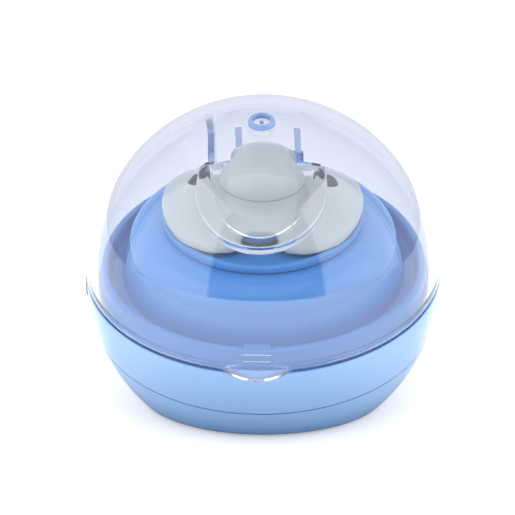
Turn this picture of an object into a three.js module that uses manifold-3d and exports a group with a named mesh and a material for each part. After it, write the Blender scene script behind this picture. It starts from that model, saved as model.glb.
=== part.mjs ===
import * as THREE from "three";
import { mergeVertices } from "three/addons/utils/BufferGeometryUtils.js";
import Module from "manifold-3d";

const wasm = await Module();
wasm.setup();

// A sterilizer case for one pacifier: a ball with a flat bottom, whose clear lid opens at a parting
// plane that leans towards the user. Lengths are in millimetres and angles in degrees.
// The case frame has its origin at the centre of the base's ball and its +Z square to the parting
// plane, with the user at -Y. The standing frame has its origin on the table under that centre.

// Ball and stance
const ballRadius = 40;
const leanAngle = 15.7;
const ballHeight = 29.6;
const footStandOff = 0.5;
const partingGap = 0.66;
const fitGap = 0.3;
const overrun = 1;
const weldDistance = 0.0005;
const aroundCount = 48;
const arcCount = 10;

// Walls and seams
const lidWall = 2.6;
const baseWall = 2.2;
const rimEdge = 0.35;
const lowerSeamDrop = 12.2;
const lipWall = 1.2;
const lipReach = 2.6;
const ledgeDrop = 1.6;
const ledgeDepth = 1.5;
const ledgeThickness = 1.2;

// Tray with its collar, trough and domed pedestal
const collarClearance = 0.8;
const collarHeight = 4.6;
const collarWall = 1.8;
const trayWall = 2;
const troughWidth = 3.5;
const troughHeight = 0.7;
const shoulderSetback = 1.3;
const shoulderHeight = 8.6;
const plateauHeight = 14.7;
const strikeWidth = 5.8;
const strikeHeight = 0.8;

// Holder cup with the teat well
const flangeRadius = 22.4;
const flangeThickness = 1.7;
const flangeLip = 1.4;
const dishDepth = 1;
const wellRadius = 12.5;
const wellFloorHeight = -9.5;
const wellFloorThickness = 1.4;
const cupWall = 1.3;
const windowOpening = 7.5;

// Lamp stack under the well
const sealThickness = 0.8;
const sealWidth = 3.4;
const windowThickness = 1;
const spacerThickness = 1.5;
const spacerWidth = 1.9;
const lampBoardThickness = 1.6;
const ledSize = 3.5;
const ledHeight = 1.3;
const ledCircleRadius = 4.5;
const ledCount = 3;
const capThickness = 1.4;
const capWall = 1.2;
const capOverlap = 5;
const capOpening = 9;

// Lid front: lifting tab and snap catch
const tabWidth = 14.7;
const tabDrop = 2.9;
const tabFlare = 1.6;
const tabThickness = 1.4;
const tabRoot = 1.6;
const scoopDepth = 1.1;
const scoopMargin = 0.8;
const catchWidth = 6.6;
const catchHeight = 1.9;
const catchDepth = 0.45;

// Lid top and back
const gateRingRadius = 3.1;
const gateRingBore = 1.8;
const gateRingHeight = 0.9;
const gateRingTaper = 0.5;
const gateNubRadius = 0.5;
const gateNubHeight = 0.35;
const ribWidth = 1.5;
const ribOffset = 6.9;
const ribDepth = 0.9;
const ribTop = 16;
const keyRibOffset = 13;
const keyRibTop = 23.5;

// Hinge
const hingeStandOff = 1.3;
const knuckleRadius = 2.4;
const armWidth = 3;
const armHeight = 8;
const blockHalfWidth = 5.1;
const blockDrop = 7.5;
const hingePinRadius = 0.9;
const pinClearance = 0.2;
const pinOverhang = 0.3;

// Power button on the left
const buttonRadius = 2.9;
const buttonDrop = 3.5;
const buttonProud = 0.45;
const buttonGap = 0.25;
const buttonStemRadius = 1.4;
const buttonStemLength = 2.8;
const buttonFlange = 0.8;
const buttonFlangeThickness = 0.9;
const buttonFlangeGap = 0.9;
const buttonNeckGap = 0.1;
const buttonTravel = 0.35;
const switchDepth = 3.5;
const switchHeight = 5.5;
const switchWidth = 6;
const switchNubRadius = 1.1;
const switchNubLength = 0.4;

// Vent slots on the right
const ventDrops = [6.1, 9.1];
const ventWidth = 11;
const ventHeight = 1.3;

// Circuit board, charging socket and chip
const boardMargin = 2.8;
const boardBore = 14.5;
const boardTop = -8;
const boardThickness = 1.6;
const socketBearing = 40;
const socketWidth = 9;
const socketHeight = 3.2;
const socketLength = 6.9;
const socketInset = 0.6;
const socketWall = 0.4;
const chipSize = 7;
const chipHeight = 1;
const chipPlace = [23, -15];

// Lid switch and its plunger
const plungerRadius = 1.3;
const plungerProud = 0.4;
const plungerStandOff = 2.1;
const plungerHead = 0.9;
const plungerHeadThickness = 1;
const plungerTravel = 1.2;
const guideWall = 1;
const detectorWidth = 5;
const detectorDepth = 3.2;
const detectorHeight = 1.1;

// Screws, posts and feet
const postCircle = 19;
const postRadius = 3.35;
const bossRadius = 2.8;
const screwRadius = 1.1;
const screwHeadRadius = 2.2;
const screwHeadHeight = 1.3;
const screwSeat = -19.6;
const screwEnd = 0;
const footRadius = 4;
const footThickness = 1.2;
const footPlace = 13.8;

// Battery in its bay
const cellLength = 34;
const cellWidth = 17.8;
const cellThickness = 5.2;
const cellFront = 2.6;
const padThickness = 1;
const padInset = 1;
const bayWall = 1.2;
const bayHeight = 5.5;
const leadRadius = 0.55;
const leadPitch = 2.2;
const leadBendShare = 0.4;
const leadSteps = 14;
const leadSides = 6;

// Pacifier
const shieldHalfLength = 22.35;
const shieldHalfWidth = 17.5;
const shieldHeight = 6.6;
const shieldRise = 10.4;
const shieldCurveLong = 30.3;
const shieldCurveShort = 20.6;
const shieldThickness = 2.2;
const shieldBore = 3.7;
const ventHoleLength = 6.4;
const ventHoleWidth = 4.2;
const ventHoleOut = 14.3;
const ventHoleBack = 4.6;
const knobRadius = 9.8;
const knobRimLift = 2.2;
const knobRise = 6.6;
const knobNeckRadius = 7.4;
const knobSkirt = 1.5;
const plugRadius = 3.3;
const plugReach = 6.6;
const teatBulbRadius = 8.3;
const teatNeckRadius = 5.2;
const teatLength = 28;
const teatTipWall = 3.5;
const teatFlangeRadius = 9.3;
const teatFlangeThickness = 1;
const teatFlatnessShare = 0.82;

// Ring handle
const ringPivotLift = 0.4;
const ringPivotBack = 2;
const ringHalfWidth = 12.7;
const ringLength = 24;
const ringStraight = 6;
const ringRodRadius = 1.7;
const ringStubRadius = 1.25;
const ringStubEnd = 8.9;
const ringPinRadius = 0.8;
const ringPinEnd = 6.6;
const ringDroop = 10;

// Places that follow from the sizes
const lean = THREE.MathUtils.degToRad(leanAngle);
const lidInner = ballRadius - lidWall;
const baseInner = ballRadius - baseWall;
const tableFloor = footStandOff;
const innerFloor = tableFloor + baseWall;
const hingeY = ballRadius + hingeStandOff;
const hingeZ = partingGap / 2;
const collarRadius = lidInner - collarClearance;
const troughRadius = collarRadius - collarWall - troughWidth;
const shoulderRadius = troughRadius - shoulderSetback;
const trayUnderside = troughHeight - trayWall;
const plateauUnderside = plateauHeight - trayWall;
const flangeBottom = plateauHeight + fitGap;
const flangeTop = flangeBottom + flangeThickness;
const cupOuter = wellRadius + cupWall;
const wellFloorBottom = wellFloorHeight - wellFloorThickness;
const lampRadius = wellRadius - fitGap;
const sealTop = wellFloorBottom - fitGap;
const windowTop = sealTop - sealThickness - fitGap;
const spacerTop = windowTop - windowThickness - fitGap;
const lampBoardTop = spacerTop - spacerThickness - fitGap;
const lampBoardBottom = lampBoardTop - lampBoardThickness;
const skirtBottom = lampBoardBottom - fitGap / 2;
const capFloorTop = skirtBottom - fitGap;
const capBottom = capFloorTop - capThickness;
const boardRadius = baseInner - boardMargin;
const boardBottom = boardTop - boardThickness;
const socketEnd = baseInner - socketInset;
const buttonFlangeFace = baseInner - buttonFlangeGap;
const buttonNeckFace = baseInner + buttonNeckGap;
const buttonStemEnd = buttonFlangeFace - buttonStemLength;
const plungerCircle = collarRadius - collarWall - plungerRadius - fitGap;
const plungerTop = collarHeight + plungerProud;
const plungerBottom = boardTop + plungerStandOff;
const lidLift = partingGap;
const shieldSeat = flangeTop + fitGap;
const shieldTop = shieldSeat + shieldHeight;
const shieldCurveCentre = shieldTop - shieldRise;
const knobRimHeight = shieldTop + knobRimLift;
const ringPivotHeight = knobRimHeight + ringPivotLift;
const teatTop = shieldTop - shieldThickness - fitGap;

// Working tools

function toSolid(geometry) {
  let bare = geometry;
  if (!geometry.userData.welded) {
    bare = geometry.clone();
    bare.deleteAttribute("normal");
    bare.deleteAttribute("uv");
    bare = mergeVertices(bare, weldDistance);
  }
  const vertProperties = new Float32Array(bare.attributes.position.array);
  const triVerts = new Uint32Array(bare.index.array);
  const made = new wasm.Manifold(new wasm.Mesh({ numProp: 3, vertProperties, triVerts }));
  if (made.volume() >= 0) return made;
  for (let i = 0; i < triVerts.length; i += 3) {
    [triVerts[i + 1], triVerts[i + 2]] = [triVerts[i + 2], triVerts[i + 1]];
  }
  return new wasm.Manifold(new wasm.Mesh({ numProp: 3, vertProperties, triVerts }));
}

function toGeometry(solid) {
  const { vertProperties, triVerts } = solid.getMesh();
  const geometry = new THREE.BufferGeometry();
  geometry.setAttribute("position", new THREE.BufferAttribute(vertProperties, 3));
  geometry.setIndex(new THREE.BufferAttribute(triVerts, 1));
  geometry.userData.welded = true;
  return geometry;
}

function combine(way, first, others) {
  return toGeometry(others.reduce((made, next) => made[way](toSolid(next)), toSolid(first)));
}
const join = (first, ...others) => combine("add", first, others);
const cut = (first, ...others) => combine("subtract", first, others);
const common = (first, ...others) => combine("intersect", first, others);

// A profile of [radius, height] points turned about Z. It ends on the axis or is closed here.
function turned(profile, sides = aroundCount) {
  const points = profile.map(([r, z]) => new THREE.Vector2(r, z));
  const open = profile[0][0] === 0 && profile.at(-1)[0] === 0;
  if (!open) points.push(points[0].clone());
  const area = points.reduce((sum, a, i) => sum + a.cross(points[(i + 1) % points.length]), 0);
  if (area < 0) points.reverse();
  return new THREE.LatheGeometry(points, sides).rotateX(Math.PI / 2);
}

// Points of a circle about [0, centreHeight], from one angle above the horizontal to another
function arc(radius, centreHeight, from, to, count = arcCount) {
  return Array.from({ length: count + 1 }, (_, i) => {
    const angle = THREE.MathUtils.degToRad(from + ((to - from) * i) / count);
    const r = Math.abs(angle) === Math.PI / 2 ? 0 : radius * Math.cos(angle);
    return [r, centreHeight + radius * Math.sin(angle)];
  });
}
const angleAt = (height, radius) => THREE.MathUtils.radToDeg(Math.asin(height / radius));

function disc(radius, low, high, sides) {
  return turned([[0, low], [radius, low], [radius, high], [0, high]], sides);
}

function hoop(inner, outer, low, high, sides) {
  return turned([[inner, low], [outer, low], [outer, high], [inner, high]], sides);
}

function block([x0, x1], [y0, y1], [z0, z1]) {
  const box = new THREE.BoxGeometry(x1 - x0, y1 - y0, z1 - z0);
  return box.translate((x0 + x1) / 2, (y0 + y1) / 2, (z0 + z1) / 2);
}

// A rod along X, from one place to another, about the line y, z
function rodX(radius, from, to, y, z, sides) {
  return disc(radius, from, to, sides).rotateY(Math.PI / 2).translate(0, y, z);
}

// A flat outline in Y and Z, given thickness along X
function plateX(points, from, to) {
  const outline = new THREE.Shape(points.map(([y, z]) => new THREE.Vector2(y, z)));
  const plate = new THREE.ExtrudeGeometry(outline, { depth: to - from, bevelEnabled: false });
  return plate.rotateX(Math.PI / 2).rotateZ(Math.PI / 2).translate(from, 0, 0);
}

// A flat outline in X and Y, given thickness along Z
function plateZ(outline, from, to, curveSegments = arcCount) {
  const options = { depth: to - from, bevelEnabled: false, curveSegments };
  return new THREE.ExtrudeGeometry(outline, options).translate(0, 0, from);
}

function ball(radius, centreHeight, sides = aroundCount) {
  return turned(arc(radius, centreHeight, -90, 90, arcCount * 2), sides);
}

// A tube of one radius along a smooth curve
function tube(curve, radius, steps, sides) {
  const section = new THREE.Shape().absarc(0, 0, radius, 0, Math.PI * 2);
  const options = { steps, curveSegments: sides / 2, extrudePath: curve, bevelEnabled: false };
  return new THREE.ExtrudeGeometry(section, options);
}

const bearing = (geometry, degrees) => geometry.rotateZ(THREE.MathUtils.degToRad(degrees));

// The case frame seen from the standing frame, and back
const caseToStanding = new THREE.Matrix4()
  .makeRotationX(lean)
  .premultiply(new THREE.Matrix4().makeTranslation(0, 0, ballHeight));
const standingToCase = caseToStanding.clone().invert();

// Everything under a height above the table, as a block in the case frame
function below(height) {
  const reach = ballRadius * 2;
  return block([-reach, reach], [-reach, reach], [height - reach, height])
    .applyMatrix4(standingToCase);
}

// Lid: dome, top ring, back ribs, hinge arms, tab and catch

function domeBody() {
  const outer = arc(ballRadius, lidLift, 90, angleAt(rimEdge, ballRadius));
  const inner = arc(lidInner, lidLift, 0, 90, arcCount - 2);
  return turned([...outer, [ballRadius - rimEdge, lidLift], ...inner]);
}

function gateRing() {
  const foot = lidLift + ballRadius - gateRingTaper;
  const top = lidLift + ballRadius + gateRingHeight;
  const ring = turned([
    [gateRingBore, foot],
    [gateRingRadius, foot],
    [gateRingRadius, top - gateRingTaper * 1.2],
    [gateRingRadius - gateRingTaper, top],
    [gateRingBore + gateRingTaper / 2, top],
    [gateRingBore, top - gateRingTaper],
  ], aroundCount / 2);
  const nub = disc(gateNubRadius, foot, lidLift + ballRadius + gateNubHeight, aroundCount / 4);
  return [ring, nub];
}

const withinLid = () => ball(lidInner + fitGap, lidLift);

function stiffeningRib(x) {
  const low = collarHeight + overrun;
  const plate = block([x - ribWidth / 2, x + ribWidth / 2], [0, ballRadius], [low, ribTop]);
  return cut(common(plate, withinLid()), ball(lidInner - ribDepth, lidLift));
}

// The rib that reaches over the collar and holds the switch plunger down
function keyRib() {
  const low = plungerTop + fitGap;
  const inner = Math.sqrt(plungerCircle ** 2 - keyRibOffset ** 2) - plungerRadius;
  const outline = [
    [inner, low],
    [ballRadius, low],
    [ballRadius, keyRibTop],
    [inner - ribDepth * 3, keyRibTop],
    [inner - ribDepth * 3, (low + keyRibTop) / 2],
  ];
  const plate = plateX(outline, -keyRibOffset - ribWidth / 2, -keyRibOffset + ribWidth / 2);
  return common(plate, withinLid());
}

function hingeArm(x) {
  const wall = ballRadius - armWidth / 2;
  const outline = [
    [wall, lidLift],
    [hingeY, hingeZ],
    [hingeY + knuckleRadius, hingeZ],
    [hingeY + knuckleRadius * 0.8, hingeZ + knuckleRadius],
    [ballRadius, lidLift + armHeight],
    [wall, lidLift + armHeight],
  ];
  const gusset = plateX(outline, x - armWidth / 2, x + armWidth / 2);
  const knuckle = rodX(knuckleRadius, x - armWidth / 2, x + armWidth / 2, hingeY, hingeZ, aroundCount / 2);
  return [gusset, knuckle];
}

// The lens outline seen from the front, as a rod along Y from which the tab and its scoop are cut
function frontLens(margin) {
  const half = tabWidth / 2;
  const drop = tabDrop + tabRoot;
  const radius = (half ** 2 + drop ** 2) / (2 * drop);
  const lens = disc(radius + margin, -ballRadius - tabFlare - overrun, -lidInner / 2);
  return lens.rotateX(-Math.PI / 2).translate(0, 0, radius - tabDrop);
}

function liftingTab() {
  const lip = turned([
    [ballRadius - tabThickness / 2, lidLift],
    [ballRadius + tabFlare - tabThickness, -tabDrop - overrun],
    [ballRadius + tabFlare, -tabDrop - overrun],
    [ballRadius, lidLift + tabRoot],
    [ballRadius - tabThickness, lidLift + tabRoot],
  ], aroundCount * 2);
  return common(lip, frontLens(0));
}

function snapCatch() {
  const low = lidLift + rimEdge;
  const face = -(lidInner - catchDepth);
  return block([-catchWidth / 2, catchWidth / 2], [-lidInner - fitGap * 2, face], [low, low + catchHeight]);
}

function lidShell() {
  const arms = [-1, 1].flatMap((side) => hingeArm(side * ribOffset));
  const ribs = [-1, 1].map((side) => stiffeningRib(side * ribOffset));
  const knuckleRoom = blockHalfWidth + fitGap;
  const room = rodX(knuckleRadius + fitGap, -knuckleRoom, knuckleRoom, hingeY, hingeZ, aroundCount / 2);
  const arm = ribOffset + armWidth / 2 + overrun;
  const bore = rodX(hingePinRadius + pinClearance, -arm, arm, hingeY, hingeZ, aroundCount / 4);
  const whole = join(domeBody(), ...gateRing(), ...ribs, keyRib(), ...arms, liftingTab(), snapCatch());
  return cut(whole, room, bore);
}

// Base: upper band, lower shell, feet and screws

const postPlaces = [90, 210, 330].map((degrees) => {
  const angle = THREE.MathUtils.degToRad(degrees);
  return [postCircle * Math.cos(angle), postCircle * Math.sin(angle)];
});

function bandBody() {
  const ledgeRadius = baseInner - ledgeDepth;
  const ledgeBottom = -ledgeDrop - ledgeThickness;
  return turned([
    ...arc(ballRadius, 0, -angleAt(lowerSeamDrop, ballRadius), -angleAt(rimEdge, ballRadius), Math.floor(arcCount / 2)),
    [ballRadius - rimEdge, 0],
    [baseInner, 0],
    [baseInner, -ledgeDrop],
    [ledgeRadius, -ledgeDrop],
    [ledgeRadius, ledgeBottom],
    ...arc(baseInner, 0, -angleAt(-ledgeBottom, baseInner), -angleAt(lowerSeamDrop, baseInner), Math.floor(arcCount / 2)),
  ]);
}

function hingeBlock() {
  const wall = ballRadius - baseWall / 2;
  const outline = [
    [wall, -fitGap],
    [hingeY, hingeZ],
    [hingeY + knuckleRadius, hingeZ],
    [hingeY + knuckleRadius * 0.8, hingeZ - knuckleRadius],
    [ballRadius - rimEdge, -blockDrop],
    [wall, -blockDrop],
  ];
  const gusset = plateX(outline, -blockHalfWidth, blockHalfWidth);
  const knuckle = rodX(knuckleRadius, -blockHalfWidth, blockHalfWidth, hingeY, hingeZ, aroundCount / 2);
  return [gusset, knuckle];
}

function baseBand() {
  const armRooms = [-1, 1].map((side) => {
    const near = side * (ribOffset - armWidth / 2 - fitGap);
    const far = side * (ribOffset + armWidth / 2 + fitGap);
    const [from, to] = [Math.min(near, far), Math.max(near, far)];
    return rodX(knuckleRadius + fitGap, from, to, hingeY, hingeZ, aroundCount / 2);
  });
  const reach = blockHalfWidth + overrun;
  const bore = rodX(hingePinRadius + pinClearance, -reach, reach, hingeY, hingeZ, aroundCount / 4);
  const outside = -ballRadius - overrun;
  const buttonHole = rodX(buttonRadius + buttonGap, outside, -baseInner + overrun, 0, -buttonDrop, aroundCount / 2);
  const buttonRoom = rodX(
    buttonRadius + buttonFlange + fitGap, -buttonFlangeFace - fitGap, -buttonStemEnd, 0, -buttonDrop, aroundCount / 2,
  );
  const vents = ventDrops.map((drop) => block(
    [baseInner - ledgeDepth, ballRadius + overrun],
    [-ventWidth / 2, ventWidth / 2],
    [-drop - ventHeight / 2, -drop + ventHeight / 2],
  ));
  const deep = ballRadius - scoopDepth;
  const scoop = common(hoop(deep, ballRadius + overrun * 3, -ballRadius, overrun), frontLens(scoopMargin));
  const mouth = socketMouth();
  return cut(join(bandBody(), ...hingeBlock()), ...armRooms, bore, buttonHole, buttonRoom, ...vents, scoop, mouth);
}

// A round-ended opening or shell of the charging socket, lying on the board along +Y
function socketOutline(width, height) {
  const outline = new THREE.Shape();
  const round = height / 2;
  const half = width / 2 - round;
  outline.absarc(half, 0, round, -Math.PI / 2, Math.PI / 2);
  outline.absarc(-half, 0, round, Math.PI / 2, Math.PI * 1.5);
  return outline;
}
const socketCentre = boardTop + fitGap + socketHeight / 2;

function socketTube(width, height, from, to) {
  const sides = Math.floor(arcCount / 2);
  const straight = plateZ(socketOutline(width, height), from, to, sides).rotateX(-Math.PI / 2);
  return bearing(straight.rotateY(Math.PI).translate(0, 0, socketCentre), -socketBearing);
}

function socketMouth() {
  return socketTube(socketWidth + 2 * fitGap, socketHeight + 2 * fitGap, baseInner - ledgeDepth * 2, ballRadius + overrun);
}

function chargingSocket() {
  const start = socketEnd - socketLength;
  const shell = socketTube(socketWidth, socketHeight, start, socketEnd);
  const hollow = socketTube(
    socketWidth - 2 * socketWall, socketHeight - 2 * socketWall, start + socketWall * 3, socketEnd + overrun,
  );
  const tongueHeight = socketHeight / 4;
  const tongue = socketTube(socketWidth - 5 * socketWall, tongueHeight, start + socketWall, socketEnd - overrun);
  return join(cut(shell, hollow), tongue);
}

function lowerShell() {
  const top = -lowerSeamDrop - fitGap;
  const outside = turned([[0, top], ...arc(ballRadius, 0, -angleAt(-top, ballRadius), -90)]);
  const inside = turned([[0, top + overrun], ...arc(baseInner, 0, -angleAt(-top - overrun, baseInner), -90)]);
  const lipOuter = Math.sqrt(baseInner ** 2 - lowerSeamDrop ** 2) - fitGap;
  const lip = hoop(lipOuter - lipWall, lipOuter, top - lipReach, boardBottom - fitGap);
  const cavity = cut(inside, below(innerFloor));
  const shell = cut(cut(outside, below(tableFloor)), cavity);
  const trimmedLip = common(lip, ball(baseInner + fitGap, 0));
  const posts = postPlaces.map(([x, y]) => common(
    disc(postRadius, -ballRadius, boardBottom - fitGap, aroundCount / 2).translate(x, y, 0),
    cut(ball(ballRadius - fitGap, 0), below(tableFloor + fitGap)),
  ));
  const bores = postPlaces.flatMap(([x, y]) => [
    disc(screwRadius + fitGap, -ballRadius, boardTop, aroundCount / 4).translate(x, y, 0),
    disc(screwHeadRadius + fitGap, -ballRadius - overrun, screwSeat, aroundCount / 2).translate(x, y, 0),
  ]);
  const bay = bayWalls().map((wall) => wall.applyMatrix4(standingToCase));
  const recesses = footPlaces().map(([x, y]) => (
    disc(footRadius + fitGap, -overrun, footThickness + fitGap, aroundCount / 2)
      .translate(x, y, 0).applyMatrix4(standingToCase)
  ));
  return cut(join(shell, trimmedLip, ...posts, ...bay), ...bores, ...recesses);
}

function footPlaces() {
  return [[-1, -1], [1, -1], [-1, 1], [1, 1]].map(([x, y]) => [x * footPlace, y * footPlace]);
}

function rubberFoot([x, y]) {
  const edge = footStandOff / 2;
  return turned([
    [0, 0], [footRadius - edge, 0], [footRadius, edge], [footRadius, footThickness], [0, footThickness],
  ], aroundCount / 2).translate(x, y, 0);
}

function bayWalls() {
  const half = cellLength / 2 + fitGap;
  const back = cellFront + cellWidth + fitGap;
  const low = innerFloor - fitGap;
  const high = innerFloor + bayHeight;
  const inset = bayWall * 2;
  const sides = [-1, 1].map((side) => {
    const [near, far] = [side * half, side * (half + bayWall)];
    return block([Math.min(near, far), Math.max(near, far)], [cellFront + inset, back - inset * 2], [low, high]);
  });
  const front = block([-half / 2, half / 2], [cellFront - fitGap - bayWall, cellFront - fitGap], [low, high]);
  return [...sides, front];
}

function screw([x, y]) {
  const seat = screwSeat - fitGap;
  const shaft = turned([
    [0, seat - screwHeadHeight],
    [screwHeadRadius * 0.8, seat - screwHeadHeight],
    [screwHeadRadius, seat - screwHeadHeight / 2],
    [screwHeadRadius, seat],
    [screwRadius, seat],
    [screwRadius, screwEnd - screwRadius],
    [0, screwEnd],
  ], aroundCount / 4);
  const drive = screwHeadRadius / 2;
  const slot = screwHeadHeight / 2;
  const from = seat - screwHeadHeight - overrun;
  const to = seat - screwHeadHeight + slot;
  const crossing = [
    block([-drive, drive], [-drive / 4, drive / 4], [from, to]),
    block([-drive / 4, drive / 4], [-drive, drive], [from, to]),
  ];
  return cut(shaft, ...crossing).translate(x, y, 0);
}

function hingePin() {
  const half = ribOffset + armWidth / 2 + pinOverhang;
  return rodX(hingePinRadius, -half, half, hingeY, hingeZ, aroundCount / 4);
}

// Tray: collar, trough, domed pedestal, screw bosses and the plunger's guide

// The outside of the pedestal, from the trough up to the plateau, moved inwards by a wall
function pedestalCurve(wall) {
  const rise = plateauHeight - shoulderHeight;
  const run = shoulderRadius - flangeRadius;
  return [
    [troughRadius - wall, shoulderHeight * 0.5],
    [shoulderRadius + run * 0.09 - wall, shoulderHeight * 0.8],
    [shoulderRadius - wall * 0.9, shoulderHeight - wall * 0.3],
    [shoulderRadius - run * 0.2 - wall * 0.7, shoulderHeight + rise * 0.3 - wall * 0.6],
    [shoulderRadius - run * 0.5 - wall * 0.5, shoulderHeight + rise * 0.66 - wall * 0.8],
    [flangeRadius - wall * 0.4, plateauHeight - wall],
  ];
}

function innerTray() {
  const edge = rimEdge;
  const collarInner = collarRadius - collarWall;
  const flangeOuter = baseInner - fitGap;
  const hole = cupOuter + fitGap;
  const body = turned([
    [hole, plateauUnderside],
    ...pedestalCurve(trayWall).reverse(),
    [troughRadius - trayWall, trayUnderside],
    [flangeOuter, trayUnderside],
    [flangeOuter, trayUnderside + ledgeThickness],
    [collarRadius, trayUnderside + ledgeThickness],
    [collarRadius, collarHeight - edge],
    [collarRadius - edge, collarHeight],
    [collarInner + edge, collarHeight],
    [collarInner, collarHeight - edge],
    [collarInner, troughHeight + edge],
    [collarInner - edge, troughHeight],
    [troughRadius, troughHeight],
    ...pedestalCurve(0),
    [hole, plateauHeight],
  ]);
  const strike = common(
    hoop(collarInner + edge, collarRadius - edge, collarHeight - overrun, collarHeight + strikeHeight),
    block([-strikeWidth / 2, strikeWidth / 2], [-ballRadius, -collarInner / 2], [0, ballRadius]),
  );
  const bossBottom = boardTop + fitGap;
  const bossTop = plateauUnderside + fitGap;
  const bosses = postPlaces.map(([x, y]) => (
    disc(bossRadius, bossBottom, bossTop, aroundCount / 2).translate(x, y, 0)
  ));
  const bores = postPlaces.map(([x, y]) => (
    disc(screwRadius + fitGap, bossBottom - overrun, screwEnd + overrun, aroundCount / 4).translate(x, y, 0)
  ));
  const guideBore = plungerRadius + fitGap;
  const guideBottom = plungerBottom + plungerHeadThickness + plungerTravel + fitGap;
  const guide = atPlunger(disc(guideBore + guideWall, guideBottom, troughHeight - fitGap, aroundCount / 4));
  const guideHole = atPlunger(disc(guideBore, guideBottom - overrun, collarHeight, aroundCount / 4));
  return cut(join(body, strike, ...bosses, guide), ...bores, guideHole);
}

// The plunger stands under the key rib, beside the collar
const plungerBearing = THREE.MathUtils.radToDeg(Math.asin(keyRibOffset / plungerCircle));
const atPlunger = (geometry) => bearing(geometry.translate(0, plungerCircle, 0), plungerBearing);

function interlockPlunger() {
  const edge = rimEdge;
  const headTop = plungerBottom + plungerHeadThickness;
  return atPlunger(turned([
    [0, plungerBottom],
    [plungerRadius + plungerHead, plungerBottom],
    [plungerRadius + plungerHead, headTop],
    [plungerRadius, headTop],
    [plungerRadius, plungerTop - edge],
    [plungerRadius - edge, plungerTop],
    [0, plungerTop],
  ], aroundCount / 4));
}

function lidSwitch() {
  const low = boardTop + fitGap;
  const high = low + detectorHeight;
  const inset = plungerHead + fitGap;
  const body = block(
    [-detectorWidth / 2, detectorWidth / 2],
    [plungerCircle - detectorDepth + inset, plungerCircle + inset],
    [low, high],
  );
  const nub = disc(plungerRadius * 0.6, low, plungerBottom - fitGap, aroundCount / 4)
    .translate(0, plungerCircle, 0);
  return bearing(join(body, nub), plungerBearing);
}

// Holder cup and the lamp under it
const lampSides = aroundCount * 2 / 3;

function holderCup() {
  const lipInner = flangeRadius - flangeLip;
  const dish = flangeTop - dishDepth;
  const edge = rimEdge;
  const mouth = edge * 2;
  const taper = wellRadius * 0.05;
  return turned([
    [cupOuter, flangeBottom],
    [flangeRadius - edge, flangeBottom],
    [flangeRadius, flangeBottom + edge],
    [flangeRadius, flangeTop - edge],
    [flangeRadius - edge, flangeTop],
    [lipInner + edge, flangeTop],
    [lipInner, dish],
    [wellRadius + mouth, dish],
    [wellRadius, dish - mouth],
    [wellRadius - taper, wellFloorHeight],
    [windowOpening, wellFloorHeight],
    [windowOpening, wellFloorBottom],
    [wellRadius, wellFloorBottom],
    [wellRadius, skirtBottom],
    [cupOuter, skirtBottom],
  ]);
}

const windowSeal = () => hoop(lampRadius - sealWidth, lampRadius, sealTop - sealThickness, sealTop, lampSides);
const uvWindow = () => disc(lampRadius, windowTop - windowThickness, windowTop, lampSides);
const windowSpacer = () => (
  hoop(lampRadius - spacerWidth, lampRadius, spacerTop - spacerThickness, spacerTop, lampSides)
);
const lampBoard = () => disc(lampRadius, lampBoardBottom, lampBoardTop, lampSides);

function uvLed(index) {
  const half = ledSize / 2;
  const low = lampBoardTop + fitGap;
  const base = block([-half, half], [-half, half], [low, low + ledHeight / 2]);
  const dome = turned([
    [0, low],
    [half * 0.8, low],
    [half * 0.8, low + ledHeight * 0.7],
    [half * 0.5, low + ledHeight],
    [0, low + ledHeight],
  ], aroundCount / 4);
  return bearing(join(base, dome).translate(ledCircleRadius, 0, 0), (360 / ledCount) * index + 90);
}

function lampCap() {
  const inner = cupOuter + fitGap;
  const outer = inner + capWall;
  return turned([
    [capOpening, capBottom],
    [outer - rimEdge, capBottom],
    [outer, capBottom + rimEdge],
    [outer, skirtBottom + capOverlap],
    [inner, skirtBottom + capOverlap],
    [inner, capFloorTop],
    [capOpening, capFloorTop],
  ]);
}

// Circuit board and what stands on it

function mainBoard() {
  const holes = postPlaces.map(([x, y]) => (
    disc(screwRadius + fitGap, boardBottom - overrun, boardTop + overrun, aroundCount / 4).translate(x, y, 0)
  ));
  return cut(hoop(boardBore, boardRadius, boardBottom, boardTop), ...holes);
}

function controlChip() {
  const half = chipSize / 2;
  const low = boardTop + fitGap;
  const [x, y] = chipPlace;
  const notch = disc(chipSize / 10, low + chipHeight / 2, low + chipHeight + overrun, aroundCount / 4);
  const body = block([-half, half], [-half, half], [low, low + chipHeight]);
  return cut(body, notch.translate(half * 0.6, half * 0.6, 0)).translate(x, y, 0);
}

// The button's profile is turned about its own axis, which points out to the left
function powerButton() {
  const face = Math.sqrt(ballRadius ** 2 - buttonDrop ** 2) + buttonProud;
  const flangeBack = buttonFlangeFace - buttonFlangeThickness;
  const body = turned([
    [0, buttonStemEnd],
    [buttonStemRadius, buttonStemEnd],
    [buttonStemRadius, flangeBack],
    [buttonRadius + buttonFlange, flangeBack],
    [buttonRadius + buttonFlange, buttonFlangeFace],
    [buttonRadius, buttonFlangeFace],
    [buttonRadius, face - buttonProud],
    [buttonRadius * 0.8, face - buttonProud * 0.2],
    [0, face],
  ], aroundCount / 2).rotateY(-Math.PI / 2).translate(0, 0, -buttonDrop);
  const tray = block(
    [-buttonNeckFace, -buttonStemEnd + overrun],
    [-ballRadius, ballRadius],
    [trayUnderside - fitGap, ballRadius],
  );
  return cut(body, tray);
}

function buttonSwitch() {
  const nubEnd = buttonStemEnd - buttonTravel - fitGap / 3;
  const face = nubEnd - switchNubLength;
  const low = boardTop + fitGap;
  const body = block([-face, -face + switchDepth], [-switchWidth / 2, switchWidth / 2], [low, low + switchHeight]);
  return join(body, rodX(switchNubRadius, -nubEnd, -face + switchDepth / 2, 0, -buttonDrop, aroundCount / 4));
}

// Battery, its pad and the leads

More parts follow.
